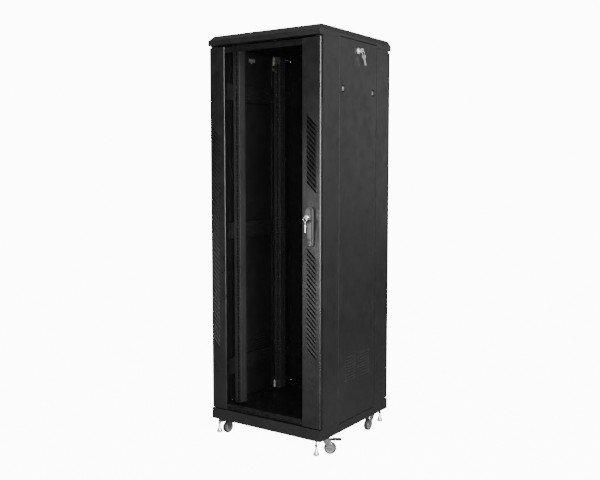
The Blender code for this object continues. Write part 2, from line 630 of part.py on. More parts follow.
def build_latch(panel, side, name, latch_y, zinc):
    """A sliding tongue behind the sheet with a thumb pad that shows in the oval opening."""
    outward = -1 if latch_y < 0 else 1
    tip = (PANEL_FRONT if outward < 0 else PANEL_BACK) - outward * (PANEL_GAP + SHEET + 0.0007)
    tail = latch_y - outward * 0.014
    bar_left, bar_right = mirrored(side, 0.2945, 0.2980)
    pad_left, pad_right = mirrored(side, 0.2970, 0.2992)
    axis = Axis(f"{name}_axis", (side * 0.296, latch_y, LATCH_Z), panel)
    bar = Shape().box((bar_left, min(tip, tail), LATCH_Z - 0.0085),
                      (bar_right, max(tip, tail), LATCH_Z + 0.0085))
    middle = latch_y - outward * LATCH_TRAVEL / 2
    pad = Shape().box((pad_left, middle - 0.0040, LATCH_Z - 0.0080),
                      (pad_right, middle + 0.0040, LATCH_Z + 0.0080))
    combine(bar.place(name, axis, zinc), axis, [('UNION', pad)])


def build_side_lock(panel, side, side_name, finishes):
    pivot = (side * HALF_WIDTH, SIDE_LOCK_Y, SIDE_LOCK_Z)
    turn = Axis(f"{side_name}_lock_axis", pivot, panel)
    centre = (SIDE_LOCK_Y, SIDE_LOCK_Z)
    inner = 0.2790
    barrel = Shape().cylinder(centre, 0.0090, "X", *mirrored(side, inner, HALF_WIDTH + 0.0025))
    cam_left, cam_right = mirrored(side, inner - 0.0002, inner + 0.0030)
    cam = Shape().box((cam_left, SIDE_LOCK_Y - SIDE_CAM_REACH, SIDE_LOCK_Z - 0.007),
                      (cam_right, SIDE_LOCK_Y + 0.007, SIDE_LOCK_Z + 0.007))
    steps = [('UNION', cam)]
    if side > 0:
        face = HALF_WIDTH + 0.0025
        half = 0.0010
        neck = Shape().box((face - 0.001, SIDE_LOCK_Y - half, SIDE_LOCK_Z - 0.0030),
                           (face + 0.008, SIDE_LOCK_Y + half, SIDE_LOCK_Z + 0.0030))
        bow = Shape().cylinder((face + 0.0140, SIDE_LOCK_Z), 0.0095, "Y",
                               SIDE_LOCK_Y - half, SIDE_LOCK_Y + half, 20)
        hole = Shape().cylinder((face + 0.0185, SIDE_LOCK_Z), 0.0030, "Y",
                                SIDE_LOCK_Y - 0.01, SIDE_LOCK_Y + 0.01, 12)
        steps += [('UNION', neck), ('UNION', bow), ('DIFFERENCE', hole)]
        build_side_spare(turn, (face + 0.0185, SIDE_LOCK_Y, SIDE_LOCK_Z), finishes["chrome"])
    combine(barrel.place(f"{side_name}_panel_lock", turn, finishes["chrome"]), turn, steps)


def build_side_spare(turn, hole, chrome):
    """The ring and the spare key lean towards the rear, as they were left hanging."""
    lean = 24.0
    swing = Axis("right_spare_axis", hole, turn)
    radius = 0.0110
    ring_centre = Vector(hole) - Vector((0, 0, radius))
    ring = Shape().tube(ring_points(ring_centre, radius, "YZ"), 0.0008, 6, True)
    ring.turn(hole, 'X', lean).place("right_key_ring", swing, chrome)
    top = Vector(hole) - Vector((0, 0, 2 * radius))
    bow, blade, bore = hanging_key(top, "Y")
    for shape in (bow, blade, bore):
        shape.turn(hole, 'X', lean)
    combine(bow.place("right_spare_key", swing, chrome), swing, [('UNION', blade), ('DIFFERENCE', bore)])


# ---- casters and feet ---------------------------------------------------------------------

def build_caster(cabinet, name, x, y, heading, has_brake, finishes):
    """Drawn with its trail along +X at the swivel, then turned to its heading."""
    swivel = Axis(f"caster_{name}_swivel_axis", (x, y, FLOOR_CLEARANCE), cabinet)
    centre = (x, y)
    axle_x = x + CASTER_TRAIL
    crown_low = FLOOR_CLEARANCE - 0.0135
    crown_high = FLOOR_CLEARANCE - 0.0035 - FIT
    crown = Shape().cylinder(centre, 0.0190, "Z", crown_low, crown_high, 20)
    cheek = [(-0.017, crown_low + 0.001), (0.018, crown_low + 0.001), (0.0290, 0.050), (0.0300, 0.025),
             (0.0220, 0.017), (0.0140, 0.025), (-0.006, 0.054)]
    cheeks = Shape()
    for inner, outer in ((0.0098, 0.0120), (-0.0120, -0.0098)):
        cheeks.prism([(x + dx, z) for dx, z in cheek], "Y", y + inner, y + outer)
    axle = Shape().cylinder((axle_x, WHEEL_RADIUS), 0.0035, "Y", y - 0.0135, y + 0.0135, 12)
    bridge = Shape().box((x - 0.014, y - 0.0119, crown_low + 0.0005),
                         (x + 0.017, y + 0.0119, crown_low + 0.0020))
    fork_steps = [bridge, cheeks, axle]
    if has_brake:
        fork_steps.append(Shape().cylinder((x + 0.012, PEDAL_HEIGHT), 0.0015, "Y", y - 0.0125, y + 0.0125, 8))
    for shape in [crown] + fork_steps:
        shape.turn((x, y, 0), 'Z', heading)
    fork = crown.place(f"caster_fork_{name}", swivel, finishes["zinc"])
    combine(fork, swivel, [('UNION', shape) for shape in fork_steps])

    turn = Matrix.Rotation(math.radians(heading), 3, 'Z')
    hub = Vector((x, y, WHEEL_RADIUS)) + turn @ Vector((CASTER_TRAIL, 0, 0))
    roll = Axis(f"caster_{name}_wheel_axis", hub, swivel)
    shoulder = WHEEL_RADIUS - 0.0015
    tyre = [(y - 0.0090, shoulder), (y - 0.0070, WHEEL_RADIUS), (y + 0.0070, WHEEL_RADIUS),
            (y + 0.0090, shoulder)]
    wheel = Shape().turned((axle_x, WHEEL_RADIUS), tyre, "Y", 32)
    bore = Shape().cylinder((axle_x, WHEEL_RADIUS), 0.0040, "Y", y - 0.02, y + 0.02, 12)
    for shape in (wheel, bore):
        shape.turn((x, y, 0), 'Z', heading)
    combine(wheel.place(f"caster_wheel_{name}", roll, finishes["tyre_rubber"]), roll, [('DIFFERENCE', bore)])

    if has_brake:
        pivot = Vector((x, y, PEDAL_HEIGHT)) + turn @ Vector((0.012, 0, 0))
        press = Axis(f"caster_{name}_brake_axis", pivot, swivel)
        tongue = Shape().box((x + 0.0085, y - 0.0090, PEDAL_HEIGHT - 0.0025),
                             (x + 0.0330, y + 0.0090, PEDAL_HEIGHT + 0.0025))
        plate = Shape().box((x + 0.0310, y - 0.0150, PEDAL_HEIGHT - 0.0020),
                            (x + 0.0720, y + 0.0150, PEDAL_HEIGHT + 0.0020))
        pin_hole = Shape().cylinder((x + 0.012, PEDAL_HEIGHT), 0.0018, "Y", y - 0.02, y + 0.02, 8)
        for shape in (tongue, plate, pin_hole):
            shape.turn((x, y, 0), 'Z', heading)
        pedal = tongue.place(f"brake_pedal_{name}", press, finishes["pedal_plastic"])
        combine(pedal, press, [('UNION', plate), ('DIFFERENCE', pin_hole)])


def build_foot(cabinet, name, x, y, zinc):
    """A levelling foot: round cone, jam nut and a stud that screws into the base's corner plate."""
    steps = [(0.0, 0.0105), (0.004, 0.0138), (0.008, 0.0138), (0.028, 0.0055), (0.032, 0.0040),
             (0.0400, 0.0040), (0.0401, 0.0070), (0.0459, 0.0070), (0.0460, 0.0040), (0.097, 0.0040)]
    profile = [(FOOT_HEIGHT + rise, radius) for rise, radius in steps]
    axis = Axis(f"foot_{name}_axis", (x, y, 0.0), cabinet)
    Shape().turned((x, y), profile, "Z", 16).place(f"levelling_foot_{name}", axis, zinc)


CASTERS = (
    ("front_right", 1, CASTER_FRONT_Y, 34.5, True),
    ("front_left", -1, CASTER_FRONT_Y, -100.0, True),
    ("rear_right", 1, CASTER_REAR_Y, -95.0, False),
    ("rear_left", -1, CASTER_REAR_Y, 120.0, False),
)


def main():
    for item in list(bpy.data.objects):
        bpy.data.objects.remove(item, do_unlink=True)
    finishes = make_materials()
    paint = finishes["powder_black"]
    cabinet = Axis("cabinet", (0, 0, 0))
    build_base(cabinet, paint)
    build_roof(cabinet, paint)
    build_posts(cabinet, paint)
    build_braces(cabinet, paint)
    build_rails(cabinet, paint)
    build_frame_bolts(cabinet, finishes["zinc"])
    build_earth_lead(cabinet, finishes["earth_sleeve"])
    build_front_door(cabinet, finishes)
    build_rear_door(cabinet, finishes)
    build_side_panel(cabinet, 1, "right", finishes)
    build_side_panel(cabinet, -1, "left", finishes)
    for name, side, y, heading, has_brake in CASTERS:
        build_caster(cabinet, name, side * CASTER_X, y, heading, has_brake, finishes)
    for side, side_name in ((1, "right"), (-1, "left")):
        for end_name, y in (("front", FOOT_FRONT_Y), ("rear", FOOT_REAR_Y)):
            build_foot(cabinet, f"{end_name}_{side_name}", side * FOOT_X, y, finishes["zinc"])


main()
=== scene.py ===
"""Looks of a free-standing 19-inch network rack cabinet: folded black sheet, tinted glass, zinc.

Metres, +Z up, the front door faces -Y. Shapes are worked out in cabinet coordinates, whose origin
is on the floor under the middle of the cabinet's plan, and are then moved to the frame's origin.
"""
import logging
import math
from dataclasses import dataclass
from enum import Enum
from typing import ClassVar, Iterable, Sequence

import bpy
import bmesh
import numpy as np
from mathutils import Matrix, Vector


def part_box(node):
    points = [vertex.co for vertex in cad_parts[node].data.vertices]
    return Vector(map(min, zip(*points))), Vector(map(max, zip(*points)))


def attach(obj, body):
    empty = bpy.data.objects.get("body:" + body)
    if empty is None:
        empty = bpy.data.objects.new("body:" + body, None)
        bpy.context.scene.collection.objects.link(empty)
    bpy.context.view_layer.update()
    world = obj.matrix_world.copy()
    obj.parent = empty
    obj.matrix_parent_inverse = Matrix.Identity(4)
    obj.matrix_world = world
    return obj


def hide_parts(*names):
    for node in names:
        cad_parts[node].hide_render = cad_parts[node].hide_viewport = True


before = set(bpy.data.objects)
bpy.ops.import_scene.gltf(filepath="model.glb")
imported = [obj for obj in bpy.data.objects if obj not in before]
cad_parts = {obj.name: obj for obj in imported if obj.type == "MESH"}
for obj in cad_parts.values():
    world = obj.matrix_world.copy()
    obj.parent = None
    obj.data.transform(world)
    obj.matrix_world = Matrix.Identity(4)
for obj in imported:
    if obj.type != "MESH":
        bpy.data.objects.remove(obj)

LOG = logging.getLogger("cabinet")
CABINET_ORIGIN = np.array([-0.010, 0.010, 0.0])
SHEET = 0.0015
SIDES = (1, -1)
SIDE_NAMES = {1: "right", -1: "left"}
NODE_WELD = 0.00001
PIECE_WELD = 0.000002
TOUCH = 1e-7
NODE_SHARP = 50.0
PIECE_SHARP = 40.0
MIRROR = np.array([-1.0, 1.0])


class Body(str, Enum):
    """The bodies that are named more than once."""

    ROOT = "root"
    FRONT_DOOR = "front_door"
    REAR_DOOR = "rear_door"


# ---- shader sums ----------------------------------------------------------------------------

class Value:
    """A shader socket in a sum: each operator adds the Math node that works it out."""

    def __init__(self, nodes: "Nodes", socket: bpy.types.NodeSocket) -> None:
        """Keeps the socket and the tree it belongs to."""
        self.nodes = nodes
        self.socket = socket

    def _math(self, operation: str, first: object, second: object) -> "Value":
        """Adds one Math node.

        Args:
            operation: the Math node's operation.
            first: its first operand, a Value or a number.
            second: its second operand.

        Returns:
            The node's result.
        """
        return self.nodes.add("ShaderNodeMath", {"operation": operation}, {0: first, 1: second})

    def __add__(self, other: object) -> "Value":
        """This plus another."""
        return self._math("ADD", self, other)

    __radd__ = __add__

    def __mul__(self, other: object) -> "Value":
        """This times another."""
        return self._math("MULTIPLY", self, other)

    __rmul__ = __mul__

    def above(self, limit: object) -> "Value":
        """1 where this is above the limit, else 0."""
        return self._math("GREATER_THAN", self, limit)


class Nodes:
    """A node tree that is filled one node at a time."""

    def __init__(self, tree: bpy.types.NodeTree) -> None:
        """Keeps the tree."""
        self.tree = tree

    def add(self, kind: str, settings: dict[str, object] | None = None,
            sockets: dict[object, object] | None = None, output: object = 0) -> Value:
        """Adds a node.

        Args:
            kind: the node's type.
            settings: attributes that are set first.
            sockets: input name or number to a Value or a constant.
            output: the output socket's name or number.

        Returns:
            The chosen output as a Value.
        """
        node = self.tree.nodes.new(kind)
        for key, setting in (settings or {}).items():
            setattr(node, key, setting)
        for key, item in (sockets or {}).items():
            self.feed(node.inputs[key], item)
        return Value(self, node.outputs[output])

    def feed(self, socket: bpy.types.NodeSocket, item: object) -> None:
        """Links a Value to a socket, or sets a constant on it.

        Args:
            socket: the input socket.
            item: a Value or a constant.
        """
        if isinstance(item, Value):
            self.tree.links.new(item.socket, socket)
        else:
            socket.default_value = item

    def spread(self, factor: Value, low: float, high: float, to_low: float, to_high: float) -> Value:
        """Maps a factor's range on another, and holds it there.

        Args:
            factor: what is mapped.
            low: the start of its range.
            high: the end of its range.
            to_low: what the start becomes.
            to_high: what the end becomes.

        Returns:
            The mapped value.
        """
        return self.add("ShaderNodeMapRange", None,
                        {"Value": factor, "From Min": low, "From Max": high,
                         "To Min": to_low, "To Max": to_high})

    def seen_directly(self) -> Value:
        """1 where the lens looks straight at something, else 0."""
        return self.add("ShaderNodeLightPath", output="Is Camera Ray")


class Shader(Nodes):
    """One material's node tree and its Principled surface."""

    def __init__(self, name: str) -> None:
        """Starts a material whose tree holds only a Principled surface.

        Args:
            name: the material's name.
        """
        self.material = bpy.data.materials.new(name)
        self.material.use_nodes = True
        super().__init__(self.material.node_tree)
        self.surface = self.tree.nodes["Principled BSDF"]

    def set(self, **inputs: object) -> None:
        """Sets the surface's inputs; an underscore in a name stands for a space."""
        for key, item in inputs.items():
            self.feed(self.surface.inputs[key.replace("_", " ")], item)

    def place(self) -> Value:
        """Object coordinates, in metres."""
        return self.add("ShaderNodeTexCoord", output="Object")

    def stretched(self, scale: Sequence[float], turn: Sequence[float] = (0, 0, 0)) -> Value:
        """Object coordinates scaled and turned by a Mapping node."""
        return self.add("ShaderNodeMapping", None,
                        {"Vector": self.place(), "Scale": tuple(scale), "Rotation": tuple(turn)})

    def noise(self, scale: float, detail: float = 2.0, at: Value | None = None) -> Value:
        """Fractal noise from 0 to 1, with so many grains to the metre."""
        return self.add("ShaderNodeTexNoise", None,
                        {"Vector": at or self.place(), "Scale": scale, "Detail": detail}, "Fac")

    def blend(self, factor: Value, first: Sequence[float], second: Sequence[float]) -> Value:
        """A colour between two, by a factor."""
        return self.add("ShaderNodeMix", {"data_type": "RGBA"},
                        {0: factor, 6: (*first, 1.0), 7: (*second, 1.0)}, 2)

    def bump(self, height: Value, strength: float, distance: float) -> Value:
        """A normal pushed about by a height."""
        return self.add("ShaderNodeBump", None,
                        {"Height": height, "Strength": strength, "Distance": distance}, "Normal")


@dataclass(frozen=True)
class PowderCoat:
    """Fine-textured powder coat: a pimpled skin with faint dust and handling marks."""

    name: str
    colour: tuple[float, float, float] = (0.0058, 0.0058, 0.0061)
    dust: tuple[float, float, float] = (0.0098, 0.0098, 0.0101)
    smooth: float = 0.36
    rough: float = 0.50
    pimple: float = 1500.0
    relief: float = 0.16

    def material(self) -> bpy.types.Material:
        """Builds the material.

        Returns:
            The material.
        """
        shader = Shader(self.name)
        cloud = shader.noise(3.1, 4.0)
        grain = shader.noise(self.pimple, 1.0)
        handled = shader.noise(22.0, 5.0)
        dusty = shader.spread(cloud * 0.7 + handled * 0.3, 0.42, 0.66, 0.0, 1.0)
        shader.set(Base_Color=shader.blend(dusty, self.colour, self.dust),
                   Roughness=shader.spread(handled, 0.35, 0.68, self.smooth, self.rough),
                   Normal=shader.bump(grain, self.relief, 0.0004),
                   Specular_IOR_Level=0.5)
        return shader.material


@dataclass(frozen=True)
class TintedGlass:
    """A grey-tinted safety pane: dark, clear, with the faintest smears."""

    name: str
    colour: tuple[float, float, float] = (0.004, 0.004, 0.0045)
    hold: float = 0.16

    def material(self) -> bpy.types.Material:
        """Builds the material.

        Returns:
            The material.
        """
        shader = Shader(self.name)
        smear = shader.noise(6.0, 5.0, shader.stretched((1.0, 1.0, 0.35)))
        shader.set(Base_Color=(*self.colour, 1.0),
                   Roughness=shader.spread(smear, 0.4, 0.7, 0.03, 0.09),
                   Alpha=self.hold, IOR=1.5, Specular_IOR_Level=0.02)
        shader.material.surface_render_method = "BLENDED"
        return shader.material


@dataclass(frozen=True)
class PlatedMetal:
    """Zinc or chrome plate on steel: bright, with fine scratches and cloudy patches."""

    name: str
    bright: tuple[float, float, float]
    dull: tuple[float, float, float]
    smooth: float
    rough: float
    metal: float = 1.0

    def material(self) -> bpy.types.Material:
        """Builds the material.

        Returns:
            The material.
        """
        shader = Shader(self.name)
        cloud = shader.noise(60.0, 4.0)
        scratch = shader.noise(420.0, 3.0, shader.stretched((1.0, 0.15, 1.0), (0.3, 0.5, 0.9)))
        clouded = shader.spread(cloud, 0.35, 0.7, 0.0, 1.0)
        shader.set(Base_Color=shader.blend(clouded, self.bright, self.dull),
                   Roughness=shader.spread(scratch, 0.3, 0.75, self.smooth, self.rough),
                   Normal=shader.bump(scratch, 0.05, 0.0003),
                   Metallic=self.metal)
        return shader.material


@dataclass(frozen=True)
class Moulded:
    """Moulded plastic or rubber: a fine spark-eroded grain and slightly scuffed."""

    name: str
    colour: tuple[float, float, float]
    worn: tuple[float, float, float]
    smooth: float
    rough: float
    grain: float = 900.0

    def material(self) -> bpy.types.Material:
        """Builds the material.

        Returns:
            The material.
        """
        shader = Shader(self.name)
        scuff = shader.noise(85.0, 5.0)
        grain = shader.noise(self.grain, 2.0)
        scuffed = shader.spread(scuff, 0.5, 0.75, 0.0, 1.0)
        shader.set(Base_Color=shader.blend(scuffed, self.colour, self.worn),
                   Roughness=shader.spread(scuff, 0.3, 0.7, self.smooth, self.rough),
                   Normal=shader.bump(grain, 0.2, 0.0004))
        return shader.material


@dataclass(frozen=True)
class StripedSleeve:
    """Green cable sleeve with a yellow stripe that winds round it."""

    name: str
    green: tuple[float, float, float] = (0.020, 0.150, 0.030)
    yellow: tuple[float, float, float] = (0.55, 0.50, 0.03)

    def material(self) -> bpy.types.Material:
        """Builds the material.

        Returns:
            The material.
        """
        shader = Shader(self.name)
        wave = shader.add("ShaderNodeTexWave", {"bands_direction": "DIAGONAL"},
                          {"Vector": shader.place(), "Scale": 38.0, "Distortion": 0.0}, "Fac")
        shader.set(Base_Color=shader.blend(wave.above(0.62), self.green, self.yellow),
                   Roughness=shader.spread(shader.noise(300.0), 0.3, 0.7, 0.38, 0.55))
        return shader.material


class Finish(Enum):
    """Every finish on the cabinet."""

    POWDER = PowderCoat("powder_black")
    # Painted light: the same black coat about twice as pale, for inner faces and braces, standing in for
    # light inside the cabinet.
    INSIDE_PAINTED_LIGHT = PowderCoat("powder_black_inside_painted_light", colour=(0.0120, 0.0120, 0.0124),
                        dust=(0.0180, 0.0180, 0.0184))
    # Painted shade: the same black coat about half as bright, for the backs of door strips, rails and roof
    # vents, so that slots and holes look dark.
    PAINTED_SHADE = PowderCoat("powder_black_painted_shade", colour=(0.0030, 0.0030, 0.0031),
                       dust=(0.0045, 0.0045, 0.0046), smooth=0.55, rough=0.70)
    DOOR = PowderCoat("powder_black_door", smooth=0.27, rough=0.38, relief=0.12)
    BOLT = PlatedMetal("bright_zinc", (0.92, 0.92, 0.92), (0.84, 0.84, 0.84), 0.30, 0.45, 0.25)
    GLASS = TintedGlass("tinted_glass")
    # Painted light: the rails' black coat made about eight times paler, standing in for light falling on the
    # rails inside the cabinet.
    RAIL_PAINTED_LIGHT = PowderCoat("powder_black_rail_painted_light", colour=(0.046, 0.046, 0.047), dust=(0.062, 0.062, 0.063))
    HANDLE = PlatedMetal("handle_grey", (0.085, 0.085, 0.088), (0.065, 0.065, 0.067), 0.26, 0.38, 0.4)
    PLATE = PowderCoat("handle_plate_grey", colour=(0.060, 0.060, 0.062), dust=(0.078, 0.078, 0.080),
                       smooth=0.30, rough=0.42, pimple=2400.0, relief=0.06)
    ZINC = PlatedMetal("zinc", (0.50, 0.50, 0.49), (0.24, 0.24, 0.245), 0.20, 0.38, 0.95)
    CHROME = PlatedMetal("chrome", (0.90, 0.90, 0.91), (0.78, 0.78, 0.80), 0.12, 0.24, 0.72)
    TYRE = Moulded("tyre_rubber", (0.022, 0.022, 0.022), (0.05, 0.048, 0.045), 0.55, 0.75)
    HUB = Moulded("wheel_core", (0.20, 0.20, 0.20), (0.12, 0.12, 0.12), 0.25, 0.42)
    PEDAL = Moulded("pedal_plastic", (0.018, 0.018, 0.019), (0.035, 0.035, 0.036), 0.35, 0.5)
    LEAD = StripedSleeve("earth_sleeve")


def round_edges(item: bpy.types.Object, width: float, sharp: float) -> None:
    """Rounds an object's sharp edges.

    Args:
        item: the object.
        width: the round's width.
        sharp: the angle in degrees from which an edge is sharp.
    """
    bevel = item.modifiers.new("round", "BEVEL")
    bevel.width = width
    bevel.segments = 2
    bevel.limit_method = "ANGLE"
    bevel.angle_limit = math.radians(sharp)
    bevel.harden_normals = True


class PaintShop:
    """Makes each finish's material once."""

    def __init__(self) -> None:
        """Starts with nothing mixed."""
        self.mixed: dict[Finish, bpy.types.Material] = {}

    def material(self, finish: Finish) -> bpy.types.Material:
        """The finish's material, made at its first use.

        Args:
            finish: the finish.

        Returns:
            The material.
        """
        if finish not in self.mixed:
            self.mixed[finish] = finish.value.material()
        return self.mixed[finish]

    def coat_node(self, node: str, finish: Finish, edge: float = 0.0) -> None:
        """Gives a CAD node its finish and, where it asks for one, a small round on its edges.

        Args:
            node: the CAD node's name.
            finish: its finish.
            edge: the width of the round in metres, or 0.
        """
        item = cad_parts[node]
        item.data.materials.clear()
        item.data.materials.append(self.material(finish))
        if edge:
            weld = item.modifiers.new("weld", "WELD")
            weld.merge_threshold = NODE_WELD
            round_edges(item, edge, NODE_SHARP)
        LOG.info("coated %s", node)


# ---- surfaces as whole arrays ---------------------------------------------------------------

@dataclass
class Surface:
    """Points and faces of one or several patches, in cabinet coordinates."""

    points: np.ndarray
    faces: list[list[int]]

    def __add__(self, other: "Surface") -> "Surface":
        """Both surfaces as one; they aren't welded where they touch.

        Args:
            other: the second surface.

        Returns:
            The joined surface.
        """
        shift = len(self.points)
        moved = [[index + shift for index in face] for face in other.faces]
        return Surface(np.concatenate([self.points, other.points]), self.faces + moved)

    def flipped(self) -> "Surface":
        """The same surface facing the other way."""
        return Surface(self.points, [face[::-1] for face in self.faces])

    def sided(self, side: int) -> "Surface":
        """A shape drawn for the right, or its mirror image on the left, still facing outwards.

        Args:
            side: 1 on the right, -1 on the left.

        Returns:
            The surface for that side.
        """
        if side > 0:
            return self
        return Surface(self.points * np.array([-1.0, 1.0, 1.0]), self.faces).flipped()

    def shifted(self, offset: Sequence[float]) -> "Surface":
        """The surface moved by an offset."""
        return Surface(self.points + np.asarray(offset, dtype=float), self.faces)

    def turned(self, pivot: Sequence[float], axis: str, degrees: float) -> "Surface":
        """The surface turned about a line, by the right-hand rule.

        Args:
            pivot: a point of the line.
            axis: the line's direction, X, Y or Z.
            degrees: how far it turns.

        Returns:
            The turned surface.
        """
        angle = math.radians(degrees)
        first, second = {"X": (1, 2), "Y": (2, 0), "Z": (0, 1)}[axis]
        local = self.points - np.asarray(pivot, dtype=float)
        result = local.copy()
        result[:, first] = local[:, first] * math.cos(angle) - local[:, second] * math.sin(angle)
        result[:, second] = local[:, first] * math.sin(angle) + local[:, second] * math.cos(angle)
        return Surface(result + np.asarray(pivot, dtype=float), self.faces)


def joined(surfaces: Iterable[Surface]) -> Surface:
    """Several surfaces as one; they aren't welded where they touch."""
    first, *rest = surfaces
    return sum(rest, first)


def grid(table: np.ndarray, keep: np.ndarray | None = None, wrap: bool = False,
         caps: bool = False) -> Surface:
    """A patch over a table of points: each point joins its next neighbours along rows and columns.

    Args:
        table: points, shape (rows, columns, 3).
        keep: which cells get a face, shape (rows - 1, columns - 1), or all of them.
        wrap: joins the last column to the first.
        caps: closes the first and the last row with one face each.

    Returns:
        The patch.
    """
    rows, columns = table.shape[:2]
    index = np.arange(rows * columns).reshape(rows, columns)
    if wrap:
        index = np.concatenate([index, index[:, :1]], axis=1)
    quads = np.stack([index[:-1, :-1], index[:-1, 1:], index[1:, 1:], index[1:, :-1]], axis=-1)
    chosen = quads.reshape(-1, 4) if keep is None else quads[keep]
    faces = chosen.tolist()
    if caps:
        faces += [index[0, :columns][::-1].tolist(), index[-1, :columns].tolist()]
    return Surface(table.reshape(-1, 3).astype(float), faces)


def axes_order(axis: str, first: np.ndarray, second: np.ndarray, along: np.ndarray) -> np.ndarray:
    """Puts two coordinates across an axis and one along it in X, Y, Z order.

    Args:
        axis: X, Y or Z.
        first: the earlier of the two across, in X, Y, Z order.
        second: the later of the two.
        along: the coordinate along the axis.

    Returns:
        The points, one more dimension deep.
    """
    parts = {"X": (along, first, second), "Y": (first, along, second), "Z": (first, second, along)}[axis]
    return np.stack(np.broadcast_arrays(*parts), axis=-1)


def prism(outline: Sequence[Sequence[float]], axis: str, start: float, end: float) -> Surface:
    """An outline carried straight along an axis: every point of it at the start and at the end.

    Args:
        outline: pairs of coordinates across the axis.
        axis: X, Y or Z.
        start: where it begins on the axis.
        end: where it ends.

    Returns:
        A closed body.
    """
    flat = np.asarray(outline, dtype=float)
    along = np.array([start, end])[:, None]
    return grid(axes_order(axis, flat[None, :, 0], flat[None, :, 1], along), wrap=True, caps=True)


def box(low: Sequence[float], high: Sequence[float]) -> Surface:
    """A block between two corners."""
    outline = [(low[0], low[1]), (high[0], low[1]), (high[0], high[1]), (low[0], high[1])]
    return prism(outline, "Z", low[2], high[2])


def turned(profile: Sequence[Sequence[float]], axis: str, centre: Sequence[float], sides: int = 32,
           ring: bool = False) -> Surface:
    """A profile of (place, radius) pairs swept round an axis: centre + radius * (cos, sin).

    Args:
        profile: places along the axis and radii there.
        axis: X, Y or Z.
        centre: the axis's two across-coordinates.
        sides: steps round.
        ring: joins the profile's end to its start, instead of closing both with a cap.

    Returns:
        A closed body.
    """
    steps = np.asarray([*profile, profile[0]] if ring else profile, dtype=float)
    angle = np.arange(sides) * (2 * np.pi / sides)
    first = centre[0] + steps[:, 1:2] * np.cos(angle)
    second = centre[1] + steps[:, 1:2] * np.sin(angle)
    return grid(axes_order(axis, first, second, steps[:, 0:1]), wrap=True, caps=not ring)


def tube(path: np.ndarray, radius: float, sides: int, across: Sequence[float]) -> Surface:
    """A circle carried along a path that lies near one plane.

    Each ring is path + radius * (cos * side + sin * up), where side is square to the path and to
    the plane's normal, and up is square to both.

    Args:
        path: points, shape (count, 3).
        radius: the tube's radius.
        sides: steps round.
        across: the normal of the path's plane.

    Returns:
        A closed body.
    """
    ahead = np.gradient(path, axis=0)
    ahead = ahead / np.linalg.norm(ahead, axis=1, keepdims=True)
    side = np.cross(ahead, np.asarray(across, dtype=float))
    side = side / np.linalg.norm(side, axis=1, keepdims=True)
    up = np.cross(side, ahead)
    angle = np.arange(sides) * (2 * np.pi / sides)
    rings = (path[:, None, :] + radius * (np.cos(angle)[None, :, None] * side[:, None, :]
                                          + np.sin(angle)[None, :, None] * up[:, None, :]))
    return grid(rings, wrap=True, caps=True)


def arc(centre: Sequence[float], radius: float, start: float, end: float, steps: int) -> np.ndarray:
    """Points on a circle's arc: centre + radius * (cos, sin).

    Args:
        centre: the circle's centre.
        radius: its radius.
        start: the first angle in degrees.
        end: the last angle.
        steps: how many steps lie between them.

    Returns:
        The points, shape (steps + 1, 2).
    """
    angle = np.radians(np.linspace(start, end, steps + 1))
    return np.stack([centre[0] + radius * np.cos(angle), centre[1] + radius * np.sin(angle)], axis=1)


class Workshop:
    """Turns surfaces into pieces that ride on a body and wear a finish."""

    def __init__(self) -> None:
        """Starts with an empty paint shop."""
        self.paint = PaintShop()

    def piece(self, name: str, surface: Surface, body: str, finish: Finish, *, closed: bool = True,
              wall: float = 0.0, lining: Finish | None = None, edge: float = 0.0,
              smooth: float = 35.0, replaces: Iterable[str] = ()) -> bpy.types.Object:
        """Makes one piece.

        Args:
            name: the piece's name.
            surface: its shape in cabinet coordinates.
            body: the body it rides on.
            finish: what it is coated with.
            closed: a closed body, whose faces are turned outwards here.
            wall: a sheet's thickness, laid behind its faces.
            lining: the finish of a sheet's back, where it differs; here a painted-shade or painted-light copy
                of the front's coat.
            edge: the width of the round on its sharp edges.
            smooth: edges flatter than this many degrees are shaded smooth.
            replaces: CAD nodes that this piece stands for.

        Returns:
            The piece's object.
        """
        mesh = bpy.data.meshes.new(name)
        mesh.from_pydata((surface.points + CABINET_ORIGIN).tolist(), [], surface.faces)
        shape = bmesh.new()
        shape.from_mesh(mesh)
        bmesh.ops.remove_doubles(shape, verts=shape.verts, dist=PIECE_WELD)
        loose = [vert for vert in shape.verts if not vert.link_faces]
        bmesh.ops.delete(shape, geom=loose, context="VERTS")
        if closed:
            bmesh.ops.recalc_face_normals(shape, faces=shape.faces)
        shape.to_mesh(mesh)
        shape.free()
        mesh.shade_smooth()
        mesh.set_sharp_from_angle(angle=math.radians(smooth))
        item = bpy.data.objects.new(name, mesh)
        bpy.context.scene.collection.objects.link(item)
        if wall:
            solid = item.modifiers.new("wall", "SOLIDIFY")
            solid.thickness = wall
            solid.offset = -1.0
            flat = item.modifiers.new("flat", "WEIGHTED_NORMAL")
            flat.keep_sharp = True
        if edge:
            round_edges(item, edge, PIECE_SHARP)
        mesh.materials.append(self.paint.material(finish))
        if lining is not None:
            mesh.materials.append(self.paint.material(lining))
            solid.material_offset = 1
        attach(item, body)
        for node in replaces:
            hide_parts(node)
        LOG.info("made %s on %s", name, body)
        return item


# ---- sheets with pressed and punched features -----------------------------------------------

